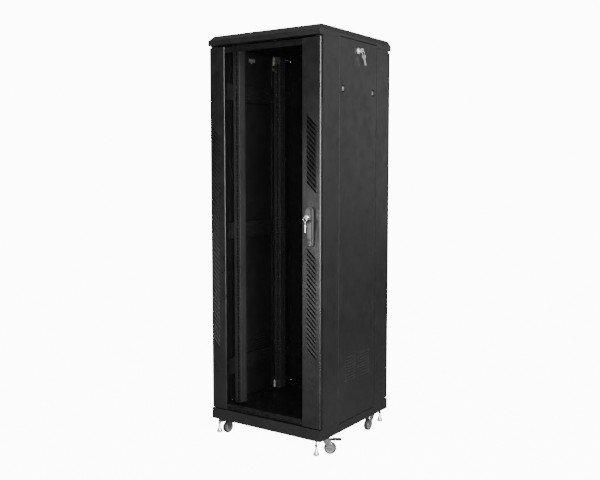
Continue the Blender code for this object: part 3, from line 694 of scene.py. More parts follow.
@dataclass(frozen=True)
class PunchedHole:
    """A hole in a flat sheet, from a circle (equal halves) to an upright slot."""

    across: float
    up: float
    half_width: float
    half_height: float
    cells: ClassVar[int] = 8
    gain: ClassVar[float] = 1.6
    border_from: ClassVar[float] = 1 - 1e-5

    def lines(self) -> tuple[np.ndarray, np.ndarray]:
        """The grid lines the hole needs, across and up."""
        steps = np.linspace(-1, 1, self.cells + 1)
        return self.across + self.half_width * steps, self.up + self.half_height * steps

    def shape(self, sheet: "PressedSheet") -> None:
        """Drops the hole's cells and rounds their border.

        A border point of the rectangle with offsets (a, b), each from -1 to 1, moves to the hole's
        outline: (a, b) over its length for a circle, plus the slot's straight part times gain * b
        over the length, held between -1 and 1.

        Args:
            sheet: the sheet that gets the hole.
        """
        inside_across = np.abs(sheet.across[None, :] - self.across) <= self.half_width + TOUCH
        inside_up = np.abs(sheet.up[:, None] - self.up) <= self.half_height + TOUCH
        inside = inside_across & inside_up
        sheet.drop(inside)
        a = np.broadcast_to((sheet.across[None, :] - self.across) / self.half_width, inside.shape)
        b = np.broadcast_to((sheet.up[:, None] - self.up) / self.half_height, inside.shape)
        border = inside & (np.maximum(np.abs(a), np.abs(b)) > self.border_from)
        length = np.maximum(np.hypot(a, b), TOUCH)
        straight = self.half_height - self.half_width
        circle_across = self.half_width * a / length
        circle_up = self.half_width * b / length + straight * np.clip(self.gain * b / length, -1, 1)
        sheet.table_across = np.where(border, self.across + circle_across, sheet.table_across)
        sheet.table_up = np.where(border, self.up + circle_up, sheet.table_up)


@dataclass(frozen=True)
class Louvre:
    """A louvre pressed out of the sheet: rounded above and at both ends, open below."""

    across: float
    top: float
    half_width: float
    height: float
    proud: float
    opening: float = 0.0002
    lap: float = 0.0028
    steps: ClassVar[int] = 4
    ends: ClassVar[tuple[float, ...]] = (0.0, 0.35, 0.7, 1.0)
    mouth_from: ClassVar[float] = 0.3

    def lines(self) -> tuple[np.ndarray, np.ndarray]:
        """The grid lines the louvre needs, across and up; the open edge has two lines in one place.

        Returns:
            Two arrays of places.
        """
        ends = np.array(self.ends) * self.height
        across = np.concatenate([self.across - self.half_width + ends,
                                 self.across + self.half_width - ends[::-1]])
        up = self.top - self.height * np.linspace(0, 1, self.steps + 1)
        return across, np.concatenate([up, [up[-1] - self.opening]])

    def shape(self, sheet: "PressedSheet") -> None:
        """Presses the sheet out: proud * sin(down / height * 90 deg) * sin(in / height * 90 deg).

        The sheet's edge below the opening stands up a little behind the hood.

        Args:
            sheet: the sheet that gets the louvre.
        """
        bottom = self.top - self.height
        into = np.clip((self.half_width - np.abs(sheet.across - self.across)) / self.height, 0, 1)
        down = np.clip((self.top - sheet.up) / self.height, 0, 1)
        down = np.where(sheet.up < bottom - self.opening / 2, 0.0, down)
        rise = self.proud * np.sin(down * np.pi / 2)[:, None] * np.sin(into * np.pi / 2)[None, :]
        sheet.depth = sheet.depth + rise
        mouth = (into > self.mouth_from)[None, :]
        lip = (sheet.up <= bottom + TOUCH) & (sheet.up >= bottom - self.opening - TOUCH)
        sheet.drop(lip[:, None] & mouth)
        behind = (np.abs(sheet.up - (bottom - self.opening)) < TOUCH)[:, None] & mouth
        sheet.table_up = np.where(behind, sheet.table_up + self.lap, sheet.table_up)


class PressedSheet:
    """A flat sheet as a grid of lines, with features that move, lift or drop parts of it."""

    def __init__(self, across: Sequence[float], up: Sequence[float], features: Sequence[object]) -> None:
        """Lays the grid and lets each feature shape it.

        Args:
            across: the sheet's own lines across, from edge to edge.
            up: its own lines up.
            features: holes and louvres.
        """
        wanted = [feature.lines() for feature in features]
        self.across = self.merged([np.asarray(across)] + [lines[0] for lines in wanted])
        self.up = self.merged([np.asarray(up)] + [lines[1] for lines in wanted])
        shape = (len(self.up), len(self.across))
        self.table_across = np.broadcast_to(self.across[None, :], shape).copy()
        self.table_up = np.broadcast_to(self.up[:, None], shape).copy()
        self.depth = np.zeros(shape)
        self.keep = np.ones((shape[0] - 1, shape[1] - 1), dtype=bool)
        for feature in features:
            feature.shape(self)

    @staticmethod
    def merged(groups: Sequence[np.ndarray]) -> np.ndarray:
        """All the lines in order, each place once to a hundredth of a millimetre."""
        return np.unique(np.round(np.concatenate(groups), 5))

    def drop(self, inside: np.ndarray) -> None:
        """Drops each cell whose four corners are all inside."""
        corners_in = inside[:-1, :-1] & inside[:-1, 1:] & inside[1:, :-1] & inside[1:, 1:]
        self.keep &= ~corners_in

    def fold(self, radius: float, reach: float) -> tuple[np.ndarray, np.ndarray, np.ndarray]:
        """Adds folded edges on all four sides.

        Each side gets the lines of a quarter circle and of a flat flange. A point's depth is
        radius * (1 - cos a * cos b), where a and b are its turns across and up, less the flange.

        Args:
            radius: the fold's outer radius.
            reach: how far the flange stands behind the face.

        Returns:
            The tables across, up and depth, all with the new lines.
        """
        turn = np.radians([30.0, 60.0, 90.0, 90.0])
        slide = radius * np.sin(turn)
        flange = np.array([0.0, 0.0, 0.0, reach - radius])
        lines = len(turn)
        own = (slice(lines, -lines), slice(lines, -lines))

        def both_ends(edge: np.ndarray, count: int) -> np.ndarray:
            """The new lines' values before and after a count of zeros."""
            return np.concatenate([edge[::-1], np.zeros(count), edge])

        rows, columns = self.depth.shape
        across = np.pad(self.table_across, lines, mode="edge")
        across += both_ends(slide, columns) * np.repeat([-1.0, 1.0], [lines, lines + columns])
        up = np.pad(self.table_up, lines, mode="edge")
        up += (both_ends(slide, rows) * np.repeat([-1.0, 1.0], [lines, lines + rows]))[:, None]
        depth = -radius * (1 - np.cos(both_ends(turn, rows))[:, None] * np.cos(both_ends(turn, columns)))
        depth -= np.maximum(both_ends(flange, rows)[:, None], both_ends(flange, columns))
        depth[own] += self.depth
        keep = np.ones((depth.shape[0] - 1, depth.shape[1] - 1), dtype=bool)
        keep[own] = self.keep
        self.keep = keep
        return across, up, depth


# ---- front door -----------------------------------------------------------------------------

@dataclass
class SlottedStrip:
    """One of the door's side strips: a folded sheet with a row of slanted vent slots.

    The section is a list of (x, y) points. Every point of it carries the same rows, and a row's
    height at x is its own height less the slope times how far x is along the slots. Each slot's two
    edges turn in as lips.
    """

    section: np.ndarray
    slot_start: float
    slot_end: float
    low: float
    high: float
    rows: tuple[tuple[float, float], ...]
    pitch: float = 0.0210
    opening: float = 0.0102
    drop: float = 0.047
    end_round: float = 0.0035
    tip: float = 0.2
    flares: tuple[float, float] = (0.00042, -0.0007)
    lips: tuple[float, float] = (0.0036, 0.0054)
    lip_spread: float = 0.0006

    def surface(self) -> Surface:
        """Works the strip out as one grid of section points by slot edges.

        A slot has four rows: its lower edge's flare and lip, then its upper edge's lip and flare.
        Towards its ends it narrows as a circle does, down to the share tip of its opening.

        Returns:
            The strip, with a hole between the lips of each slot.
        """
        tops = np.concatenate([np.arange(top, bottom + self.drop, -self.pitch)[::-1]
                               for bottom, top in self.rows])
        edges = np.stack([tops - self.opening] * 2 + [tops] * 2, axis=1).reshape(-1)
        heights = np.concatenate([[self.low], edges, [self.high]])
        face = self.section
        along = np.clip((face[:, 0] - self.slot_start) / (self.slot_end - self.slot_start), 0, 1)
        inside = (face[:, 0] > self.slot_start - TOUCH) & (face[:, 0] < self.slot_end + TOUCH)
        end_gap = np.minimum(face[:, 0] - self.slot_start, self.slot_end - face[:, 0])
        straightness = np.clip(end_gap / self.end_round, 0, 1)
        pinch = np.sqrt(np.clip(1 - (1 - straightness) ** 2, self.tip ** 2, 1))
        table_z = np.repeat(heights[:, None], len(face), axis=1)
        middle = (tops - self.opening / 2)[:, None] - self.drop * along[None, :]
        half = self.opening / 2 * np.where(inside, pinch, self.tip)[None, :]
        for first in (1, 2):
            table_z[first:-1:4] = middle - half
            table_z[first + 2:-1:4] = middle + half
        table = np.empty((*table_z.shape, 3))
        table[..., 0] = face[None, :, 0]
        table[..., 1] = face[None, :, 1]
        table[..., 2] = table_z
        shaped = np.where(inside, pinch, 0.0)[None, :]
        table[2:-1:4, :, 2] -= self.lip_spread * shaped
        table[3:-1:4, :, 2] += self.lip_spread * shaped
        for first, back in zip((1, 2, 3, 4), (self.flares[0], *self.lips, self.flares[1])):
            table[first:-1:4, :, 1] += back * shaped
        keep = np.ones((len(heights) - 1, len(face) - 1), dtype=bool)
        within = inside[:-1] & inside[1:]
        keep[2:-1:4] = ~within[None, :]
        return grid(table, keep)


@dataclass
class FrontDoor:
    """The glass door with its slotted side strips, channels and hinge pins."""

    face: float = -0.295
    back: float = -0.281
    low: float = 0.140
    high: float = 1.782
    outer: float = 0.299
    pane_left: float = -0.213
    pane_right: float = 0.206
    edge_round: float = 0.0048
    inner_round: float = 0.0032
    wall: float = 0.0013
    hem: float = 0.012
    channel: float = 0.026
    channel_gap: float = 0.0066
    cap_gap: float = 0.0016
    cap_lines: tuple[float, float] = (0.0003, -0.0018)
    slots_right: tuple[float, float] = (0.2300, 0.2790)
    slots_left: tuple[float, float] = (-0.2890, -0.2470)
    rows_right: tuple[tuple[float, float], ...] = ((0.435, 0.913), (1.140, 1.469))
    rows_left: tuple[tuple[float, float], ...] = ((0.412, 1.436),)

    def section(self, inner: float, slots: tuple[float, float]) -> np.ndarray:
        """A strip's section from its hem behind the pane's edge round to its hem at the outside.

        Args:
            inner: the pane's edge, drawn for the right side.
            slots: where the slots start and end.

        Returns:
            Points (x, y), in order from the inside to the outside.
        """
        start, end = slots
        bends = np.array([0.0, 0.0008, 0.0020, 0.0035])
        bend = np.array([(0.0, 1.0), (0.05, 0.79), (0.19, 0.61), (0.61, 0.19), (0.79, 0.05), (1.0, 0.0)])
        inside = bend * self.inner_round + np.array([inner, self.face])
        outside = bend[::-1] * MIRROR * self.edge_round + np.array([self.outer, self.face])
        plain = np.linspace(start + 0.008, end - 0.008, 4)
        middle = np.concatenate([start + bends, plain, end - bends[::-1]])
        face = np.stack([middle, np.full(len(middle), self.face)], axis=1)
        return np.concatenate([[(inner + self.hem, self.back), (inner, self.back)], inside, face, outside,
                               [(self.outer, self.back), (self.outer - self.hem, self.back)]])

    def build(self, shop: Workshop) -> None:
        """Builds both strips and the channels, and dresses the pane and the pins.

        Args:
            shop: makes the pieces and coats the nodes.
        """
        right = self.section(self.pane_right, self.slots_right)
        left = self.section(-self.pane_left, (-self.slots_left[1], -self.slots_left[0])) * MIRROR
        for name, section, slots, rows in (("right", right, self.slots_right, self.rows_right),
                                           ("left", left[::-1], self.slots_left, self.rows_left)):
            strip = SlottedStrip(section, *slots, self.low, self.high, rows)
            # The strips' backs wear painted shade, so that the slots look dark.
            shop.piece(f"door_strip_{name}", strip.surface(), Body.FRONT_DOOR, Finish.DOOR, closed=False,
                       wall=self.wall, lining=Finish.PAINTED_SHADE, replaces=["front_door_frame"])
        self.build_channel(shop, "bottom", self.low, self.low + self.channel)
        self.build_channel(shop, "top", self.high - self.channel, self.high)
        self.build_caps(shop)
        shop.paint.coat_node("front_door_glass", Finish.GLASS, 0.0006)
        for end in ("top", "bottom"):
            shop.paint.coat_node(f"front_hinge_pin_{end}", Finish.ZINC, 0.0003)

    def build_channel(self, shop: Workshop, name: str, low: float, high: float) -> None:
        """A channel behind the pane, with a row of domed screws.

        Args:
            shop: makes the pieces.
            name: the channel's name.
            low: its lower edge.
            high: its upper edge.
        """
        front = self.face + self.channel_gap
        outline = [(front, low), (self.back, low), (self.back, high), (front, high)]
        body = prism(outline, "X", self.pane_left - 0.0007, self.pane_right + 0.0007)
        shop.piece(f"door_channel_{name}", body, Body.FRONT_DOOR, Finish.POWDER, edge=0.0011,
                   replaces=["front_door_frame"])
        head = [(self.back + rise, radius) for rise, radius in
                ((0.0002, 0.0001), (0.0002, 0.0040), (0.0012, 0.0036), (0.0020, 0.0022), (0.0021, 0.0001))]
        places = np.linspace(self.pane_left + 0.03, self.pane_right - 0.03, 4)
        screws = joined(turned(head, "Y", (place, (low + high) / 2), 16) for place in places)
        shop.piece(f"door_channel_screws_{name}", screws, Body.FRONT_DOOR, Finish.ZINC)

    def build_caps(self, shop: Workshop) -> None:
        """The strips' folded ends at the top and the bottom.

        Args:
            shop: makes the pieces and coats the nodes.
        """
        gap = self.cap_gap
        lows = (self.low + self.cap_lines[0], self.high + self.cap_lines[1])
        for name, inner, outer in (("right", self.pane_right, self.outer),
                                   ("left", -self.outer, self.pane_left)):
            ends = joined(box((inner + gap, self.face + gap, low), (outer - gap, self.back, low + SHEET))
                          for low in lows)
            shop.piece(f"door_strip_ends_{name}", ends, Body.FRONT_DOOR, Finish.POWDER,
                       replaces=["front_door_frame"])


# ---- frame ----------------------------------------------------------------------------------

@dataclass
class MountingRail:
    """A folded rail with square holes, three to a rack unit, in both flanges."""

    side: int
    face: float
    inward: int
    name: str
    web_holes: bool
    inner: float = 0.2254
    outer: float = 0.2625
    depth: float = 0.042
    low: float = 0.1365
    high: float = 1.7895
    first_unit: float = 0.1410
    units: int = 37
    unit: float = 0.04445
    hole: float = 0.0095
    hole_across: float = 0.2425
    bend: float = 0.0022
    wall: float = 0.0018
    places: ClassVar[tuple[float, ...]] = (0.00635, 0.02223, 0.03810)
    web_lines: ClassVar[tuple[float, ...]] = (0.014, 0.020, 0.029, 0.035)

    def section(self) -> tuple[np.ndarray, np.ndarray]:
        """The rail's section from one flange's edge to the other's.

        Returns:
            Points (x, depth), and which cells between them can be holes.
        """
        half = self.hole / 2
        flange = [self.outer, self.hole_across + half, self.hole_across - half, self.inner + self.bend]
        first_bend = arc((self.inner + self.bend, self.bend), self.bend, 270, 180, 3)
        last_bend = arc((self.inner + self.bend, self.depth - self.bend), self.bend, 180, 90, 3)
        web = np.array([[self.inner, line] for line in self.web_lines])
        front = np.array([[x, 0.0] for x in flange[:3]])
        back = np.array([[x, self.depth] for x in flange[:3][::-1]])
        points = np.concatenate([front, first_bend, web, last_bend, back])
        holed = np.zeros(len(points) - 1, dtype=bool)
        holed[[1, -2]] = True
        if self.web_holes:
            first_web = len(front) + len(first_bend)
            holed[[first_web, first_web + 2]] = True
        return points, holed

    def build(self, shop: Workshop) -> None:
        """Builds the rail as section points by hole edges.

        Args:
            shop: makes the pieces and coats the nodes.
        """
        points, holed = self.section()
        units = self.first_unit + self.unit * np.arange(self.units)
        middles = (units[:, None] + np.array(self.places)[None, :]).reshape(-1)
        edges = np.stack([middles - self.hole / 2, middles + self.hole / 2], axis=1).reshape(-1)
        heights = np.concatenate([[self.low], edges, [self.high]])
        table = np.empty((len(heights), len(points), 3))
        table[..., 0] = points[None, :, 0]
        table[..., 1] = self.face + self.inward * points[None, :, 1]
        table[..., 2] = heights[:, None]
        keep = np.ones((len(heights) - 1, len(points) - 1), dtype=bool)
        keep[1:-1:2] = ~holed[None, :]
        surface = grid(table, keep)
        if self.inward > 0:
            surface = surface.flipped()
        # The rail wears the painted-light coat outside and painted shade on its inner side, so that its holes
        # look dark.
        shop.piece(f"rail_{self.name}", surface.sided(self.side), Body.ROOT, Finish.RAIL_PAINTED_LIGHT, closed=False,
                   wall=self.wall, lining=Finish.PAINTED_SHADE, replaces=[f"mounting_rail_{self.name}"])


@dataclass(frozen=True)
class Rib:
    """A long rib pressed out of a sheet: proud * cos^2 across it, fading out at both ends."""

    low: float
    high: float
    up: float
    half_height: float
    proud: float

    def lines(self) -> tuple[np.ndarray, np.ndarray]:
        """The grid lines the rib needs.

        Returns:
            Two arrays of places.
        """
        fade = self.half_height * np.array([0.0, 0.6, 1.4, 2.0])
        return (np.concatenate([self.low + fade, self.high - fade[::-1]]),
                self.up + self.half_height * np.linspace(-1, 1, 7))

    def shape(self, sheet: PressedSheet) -> None:
        """Lifts the sheet along the rib.

        Args:
            sheet: the sheet that gets the rib.
        """
        end_gap = np.minimum(sheet.across - self.low, self.high - sheet.across)
        into = np.clip(end_gap / (2 * self.half_height), 0, 1)
        off = np.clip(np.abs(sheet.up - self.up) / self.half_height, 0, 1)
        sheet.depth = sheet.depth + (self.proud * np.cos(off * np.pi / 2)[:, None] ** 2
                                     * np.sin(into * np.pi / 2)[None, :])


@dataclass
class DepthBrace:
    """A channel between the front and rear posts, with two ribs, slots and end brackets."""

    side: int
    level: str
    inner: float = 0.2635
    flange: float = 0.016
    wall: float = 0.0013
    end_gap: float = 0.002
    fold: float = 0.002
    rib_inset: float = 0.075
    rib_up: float = 0.017
    slot_insets: tuple[float, ...] = (0.030, 0.056)
    rails: tuple[tuple[float, int], ...] = ((-0.172, 1), (0.187, -1))
    bracket: tuple[float, float] = (0.0430, 0.0760)
    bracket_half: float = 0.030
    bracket_chamfer: tuple[float, float] = (0.004, 0.003)
    screw_up: float = 0.019

    def build(self, shop: Workshop) -> None:
        """Builds the channel, its brackets and its screws.

        Args:
            shop: makes the pieces and coats the nodes.
        """
        name = f"{self.level}_{SIDE_NAMES[self.side]}"
        low, high = (np.array(corner) - CABINET_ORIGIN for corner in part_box(f"depth_brace_{name}"))
        front = low[1] + self.end_gap
        back = high[1] - self.end_gap
        middle = (low[2] + high[2]) / 2
        half = (high[2] - low[2]) / 2 - self.fold
        ribs = [Rib(front + self.rib_inset, back - self.rib_inset, middle + up, 0.005, 0.0012)
                for up in (-self.rib_up, self.rib_up)]
        slots = [PunchedHole(place, middle, 0.0045, 0.009)
                 for inset in self.slot_insets for place in (front + inset, back - inset)]
        sheet = PressedSheet([front, back], [middle - half, middle + half], ribs + slots)
        turn = np.radians([30.0, 60.0, 90.0])
        drop = np.concatenate([self.fold * (1 - np.cos(turn)), [self.flange]])
        slide = np.concatenate([self.fold * np.sin(turn), [self.fold]])
        lines = len(drop)
        flat = ((lines, lines), (0, 0))
        depth = np.pad(sheet.depth, flat)
        depth[:lines] = -drop[::-1, None]
        depth[-lines:] = -drop[:, None]
        up = np.pad(sheet.table_up, flat, mode="edge")
        up[:lines] -= slide[::-1, None]
        up[-lines:] += slide[:, None]
        across = np.pad(sheet.table_across, flat, mode="edge")
        keep = np.pad(sheet.keep, flat, constant_values=True)
        surface = grid(np.stack([self.inner - depth, across, up], axis=-1), keep).flipped()
        # The brace wears the painted-light copy of the black coat.
        shop.piece(f"brace_{name}", surface.sided(self.side), Body.ROOT, Finish.INSIDE_PAINTED_LIGHT,
                   closed=False, wall=self.wall, replaces=[f"depth_brace_{name}"])
        self.build_brackets(shop, name, middle)

    def build_brackets(self, shop: Workshop, name: str, middle: float) -> None:
        """Angle brackets that carry the rails, each with its screw heads.

        Args:
            shop: makes the pieces.
            name: the brace's level and side.
            middle: the height of its middle.
        """
        head = [(self.inner - proud, radius) for proud, radius in
                ((0.0040, 0.0001), (0.0040, 0.0060), (0.0052, 0.0058), (0.0068, 0.0036), (0.0070, 0.0001))]
        into, over = self.bracket_chamfer
        low, high = middle - self.bracket_half, middle + self.bracket_half
        brackets = []
        screws = []
        for rail_face, inward in self.rails:
            near, far = sorted(rail_face + inward * reach for reach in self.bracket)
            outline = [(near, low), (near + into, low - over), (far - into, low - over), (far, low),
                       (far, high), (far - into, high + over), (near + into, high + over), (near, high)]
            brackets.append(prism(outline, "X", self.inner - 0.0038, self.inner - 0.0018))
            screws += [turned(head, "X", ((near + far) / 2, middle + up), 16)
                       for up in (-self.screw_up, self.screw_up)]
        # The brackets wear the painted-light copy of the black coat.
        shop.piece(f"brace_brackets_{name}", joined(brackets).sided(self.side), Body.ROOT, Finish.INSIDE_PAINTED_LIGHT,
                   edge=0.0005)
        shop.piece(f"brace_screws_{name}", joined(screws).sided(self.side), Body.ROOT, Finish.POWDER)


@dataclass
class Frame:
    """Base, roof, posts, braces, rails and their fixings."""

    rail_front: float = -0.172
    rail_rear: float = 0.187
    base_top: float = 0.135
    roof_bottom: float = 1.791
    levels: tuple[str, ...] = ("low", "middle", "top")

    def build(self, shop: Workshop) -> None:
        """Builds the frame.

        Args:
            shop: makes the pieces and coats the nodes.
        """
        shop.paint.coat_node("base_frame", Finish.POWDER, 0.0011)
        shop.paint.coat_node("roof", Finish.POWDER, 0.0016)
        shop.paint.coat_node("roof_entry_cover", Finish.POWDER)
        for side in SIDES:
            for end in ("front", "rear"):
                shop.paint.coat_node(f"post_{end}_{SIDE_NAMES[side]}", Finish.POWDER, 0.0010)
            for level in self.levels:
                DepthBrace(side, level).build(shop)
            MountingRail(side, self.rail_front, 1, f"front_{SIDE_NAMES[side]}", False).build(shop)
            MountingRail(side, self.rail_rear, -1, f"rear_{SIDE_NAMES[side]}", True).build(shop)
            for end in ("top", "bottom"):
                shop.paint.coat_node(f"rail_bolt_{end}_{SIDE_NAMES[side]}", Finish.BOLT, 0.0004)
            self.build_rail_feet(shop, side)
        self.build_lead(shop)

    def build_rail_feet(self, shop: Workshop, side: int) -> None:
        """Small angles that stand the rails on the base and hang them from the roof.

        Args:
            shop: makes the piece.
            side: 1 on the right, -1 on the left.
        """
        feet = []
        for face, inward in ((self.rail_front, 1), (self.rail_rear, -1)):
            for level, grow in ((self.base_top, 1), (self.roof_bottom, -1)):
                near, far = sorted((face + inward * 0.0425, face + inward * 0.0445))
                low, high = sorted((level + grow * 0.0005, level + grow * 0.032))
                feet.append(box((0.2290, near, low), (0.2600, far, high)))
        shop.piece(f"rail_feet_{SIDE_NAMES[side]}", joined(feet).sided(side), Body.ROOT, Finish.ZINC,
                   edge=0.0004)

    def build_lead(self, shop: Workshop) -> None:
        """The earth lead's sleeve: a tube along a cubic curve in a bow.

        A point at t is start (1-t)^3 + 3 first t (1-t)^2 + 3 second t^2 (1-t) + end t^3.

        Args:
            shop: makes the pieces and coats the nodes.
        """
        start = np.array([-0.2480, 0.120, self.roof_bottom - 0.0030])
        end = np.array([-0.2480, 0.1420, self.roof_bottom - 0.0740])
        first = start + np.array([0.0, -0.012, -0.050])
        second = end + np.array([0.0, -0.034, 0.002])
        t = np.linspace(0, 1, 25)[:, None]
        path = (start * (1 - t) ** 3 + 3 * first * t * (1 - t) ** 2 + 3 * second * t ** 2 * (1 - t)
                + end * t ** 3)
        lead = shop.piece("earth_lead_sleeve", tube(path, 0.0020, 12, (1, 0, 0)), Body.ROOT, Finish.LEAD,
                          replaces=["earth_lead"])
        world = path + CABINET_ORIGIN


# ---- side panels ----------------------------------------------------------------------------

@dataclass
class SidePanel:
    """A lift-off side panel: folded edges, two blocks of louvres, a lock and two spring latches."""

    side: int
    face: float = 0.300
    fold: float = 0.0032
    reach: float = 0.0120
    lock: tuple[float, float] = (0.007, 1.758)
    latch_up: float = 1.585
    latches: tuple[float, ...] = (-0.120, 0.138)
    latch_slot: float = 0.0125
    slot_cells: range = range(-3, 3)
    wall: float = 0.0012
    louvre_blocks: tuple[tuple[float, float], ...] = ((-0.095, -0.009), (0.018, 0.120))
    louvre_low: float = 0.312
    louvre_high: float = 0.414
    louvre_rows: int = 9

    def build(self, shop: Workshop) -> None:
        """Builds the panel, with slots in its folded edges for the latches, and dresses its fittings.

        The slots leave out the flange and the bend up to its last cell, so that a pressed latch
        clears the sheet.

        Args:
            shop: makes the pieces and coats the nodes.
        """
        name = SIDE_NAMES[self.side]
        low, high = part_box(f"side_panel_{name}")
        front = low[1] - CABINET_ORIGIN[1]
        back = high[1] - CABINET_ORIGIN[1]
        tops = np.linspace(self.louvre_low, self.louvre_high, self.louvre_rows)
        louvres = [Louvre((start + end) / 2, top, (end - start) / 2, 0.0076, 0.0046)
                   for start, end in self.louvre_blocks for top in tops]
        holes = [PunchedHole(*self.lock, 0.0095, 0.0095)]
        holes += [PunchedHole(place, self.latch_up, 0.0095, 0.016) for place in self.latches]
        lines_up = [low[2] + self.fold, 0.9, 1.3, high[2] - self.fold]
        sheet = PressedSheet([front + self.fold, back - self.fold], lines_up, louvres + holes)
        across, up, depth = sheet.fold(self.fold, self.reach)
        beside = np.abs(sheet.up - self.latch_up) < self.latch_slot
        notched = np.zeros(sheet.keep.shape[0], dtype=bool)
        notched[4:-4] = beside[:-1] & beside[1:]
        for column in self.slot_cells:
            sheet.keep[notched, column] = False
        table = np.stack([self.face + depth, across, up], axis=-1)
        body = f"{name}_panel"
        # The panel's inner face wears the painted-light copy of the black coat.
        shop.piece(f"panel_skin_{name}", grid(table, sheet.keep).sided(self.side), body, Finish.POWDER,
                   closed=False, wall=self.wall, lining=Finish.INSIDE_PAINTED_LIGHT, smooth=40,
                   replaces=[f"side_panel_{name}"])
        for end in ("front", "rear"):
            shop.paint.coat_node(f"side_latch_{end}_{name}", Finish.ZINC, 0.0004)
        shop.paint.coat_node(f"{name}_panel_lock", Finish.CHROME, 0.0003)
        if self.side > 0:
            shop.paint.coat_node("right_key_ring", Finish.CHROME, 0.0004)
            shop.paint.coat_node("right_spare_key", Finish.CHROME, 0.0004)
        collar = [(self.face + proud, radius) for proud, radius in
                  ((0.0002, 0.0093), (0.0002, 0.0135), (0.0010, 0.0132), (0.0017, 0.0118), (0.0018, 0.0093))]
        shop.piece(f"side_lock_collar_{name}", turned(collar, "X", self.lock, ring=True).sided(self.side),
                   body, Finish.CHROME)


# ---- handle and keys ------------------------------------------------------------------------

@dataclass
class SwingHandle:
    """The door's swing handle: plate, lever with a finger hollow, head, key, ring and spare."""

    across: float = 0.252
    half_width: float = 0.0125
    front: float = -0.319
    back: float = -0.3036
    low: float = 0.9175
    high: float = 1.0300
    slope: float = 1.25
    hollow: float = 0.0045
    squareness: float = 0.45
    rows: int = 26

    def build(self, shop: Workshop) -> None:
        """Builds the lever and dresses the rest.

        Args:
            shop: makes the pieces and coats the nodes.
        """
        shop.paint.coat_node("handle_plate", Finish.PLATE, 0.0014)
        shop.paint.coat_node("handle_head", Finish.HANDLE, 0.0008)
        for node in ("front_key", "front_key_ring", "front_spare_key"):
            shop.paint.coat_node(node, Finish.CHROME, 0.00025)
        self.build_lever(shop)

    def build_lever(self, shop: Workshop) -> None:
        """The lever: a rounded section carried down its length.

        At t from 0 at the foot to 1 at the top, the front face stands at front, less a hollow of
        hollow * sin^2 over the lower third, the top slopes back so that it can swing out under the
        head, and the half width narrows a little towards the foot. Round the section, width is
        cos^squareness and crown is sin^squareness, each with its sign.

        Args:
            shop: makes the pieces and coats the nodes.
        """
        t = np.linspace(0, 1, self.rows)
        heights = self.low + (self.high - self.low) * t
        half = self.half_width * (0.86 + 0.14 * np.sin(np.clip(t * 1.6, 0, 1) * np.pi / 2))
        ends = np.sqrt(np.clip(1 - (1 - np.clip(np.minimum(t, 1 - t) / 0.035, 0, 1)) ** 2, 0.05, 1))
        hollow = self.hollow * np.sin(np.clip((t - 0.04) / 0.30, 0, 1) * np.pi) ** 2
        angle = np.linspace(0, np.pi, 15)
        crown = np.sign(np.sin(angle)) * np.abs(np.sin(angle)) ** self.squareness
        width = np.sign(np.cos(angle)) * np.abs(np.cos(angle)) ** self.squareness
        deep = (self.back - self.front) * (0.55 + 0.45 * ends) - hollow
        deep = np.minimum(deep, 0.0006 + (self.high - heights) * self.slope)
        x = self.across + half[:, None] * ends[:, None] ** 0.5 * width[None, :]
        y = self.back - deep[:, None] * crown[None, :]
        table = np.stack([x, y, np.broadcast_to(heights[:, None], x.shape)], axis=-1)
        surface = grid(table, wrap=True, caps=True)
        shop.piece("handle_lever_shell", surface, "handle_lever", Finish.HANDLE, smooth=50,
                   replaces=["handle_lever"])


# ---- casters and feet -----------------------------------------------------------------------

@dataclass
class Caster:
    """A swivel caster's wheel: a rounded tyre on a pale core with a dished face and an axle nut."""

    name: str
    swivel: tuple[float, float]
    braked: bool
    radius: float = 0.0275
    half_tyre: float = 0.0089
    half_core: float = 0.0074

    def build(self, shop: Workshop) -> None:
        """Builds tyre and core, and dresses the fork and the pedal.

        Args:
            shop: makes the pieces and coats the nodes.
        """
        low, high = (np.array(corner) - CABINET_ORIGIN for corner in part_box(f"caster_wheel_{self.name}"))
        hub = (low + high) / 2
        swivel = np.array(self.swivel)
        heading = math.degrees(math.atan2(hub[1] - swivel[1], hub[0] - swivel[0]))
        tyre, core = self.half_tyre, self.half_core
        tyre_side = [(core, 0.0200), (tyre - 0.0004, 0.0204), (tyre, 0.0218), (tyre - 0.0006, 0.0242),
                     (tyre - 0.0022, 0.0264), (tyre - 0.0044, 0.0273), (0.0, self.radius)]
        core_side = [(core - 0.0016, 0.0042), (core + 0.0006, 0.0058), (core + 0.0004, 0.0080),
                     (core - 0.0022, 0.0100), (core - 0.0026, 0.0140), (core - 0.0004, 0.0180),
                     (core, 0.0204)]
        for name, side, finish in (("tyre", tyre_side, Finish.TYRE), ("core", core_side, Finish.HUB)):
            profile = [(-place, radius) for place, radius in side] + side[::-1]
            wheel = turned(profile, "X", (0.0, 0.0), 40, ring=True).turned((0, 0, 0), "Z", heading - 90.0)
            shop.piece(f"caster_{name}_{self.name}", wheel.shifted(hub), f"wheel_{self.name}", finish,
                       replaces=[f"caster_wheel_{self.name}"])
        shop.paint.coat_node(f"caster_fork_{self.name}", Finish.ZINC, 0.0005)
        if self.braked:
            shop.paint.coat_node(f"brake_pedal_{self.name}", Finish.PEDAL, 0.0011)


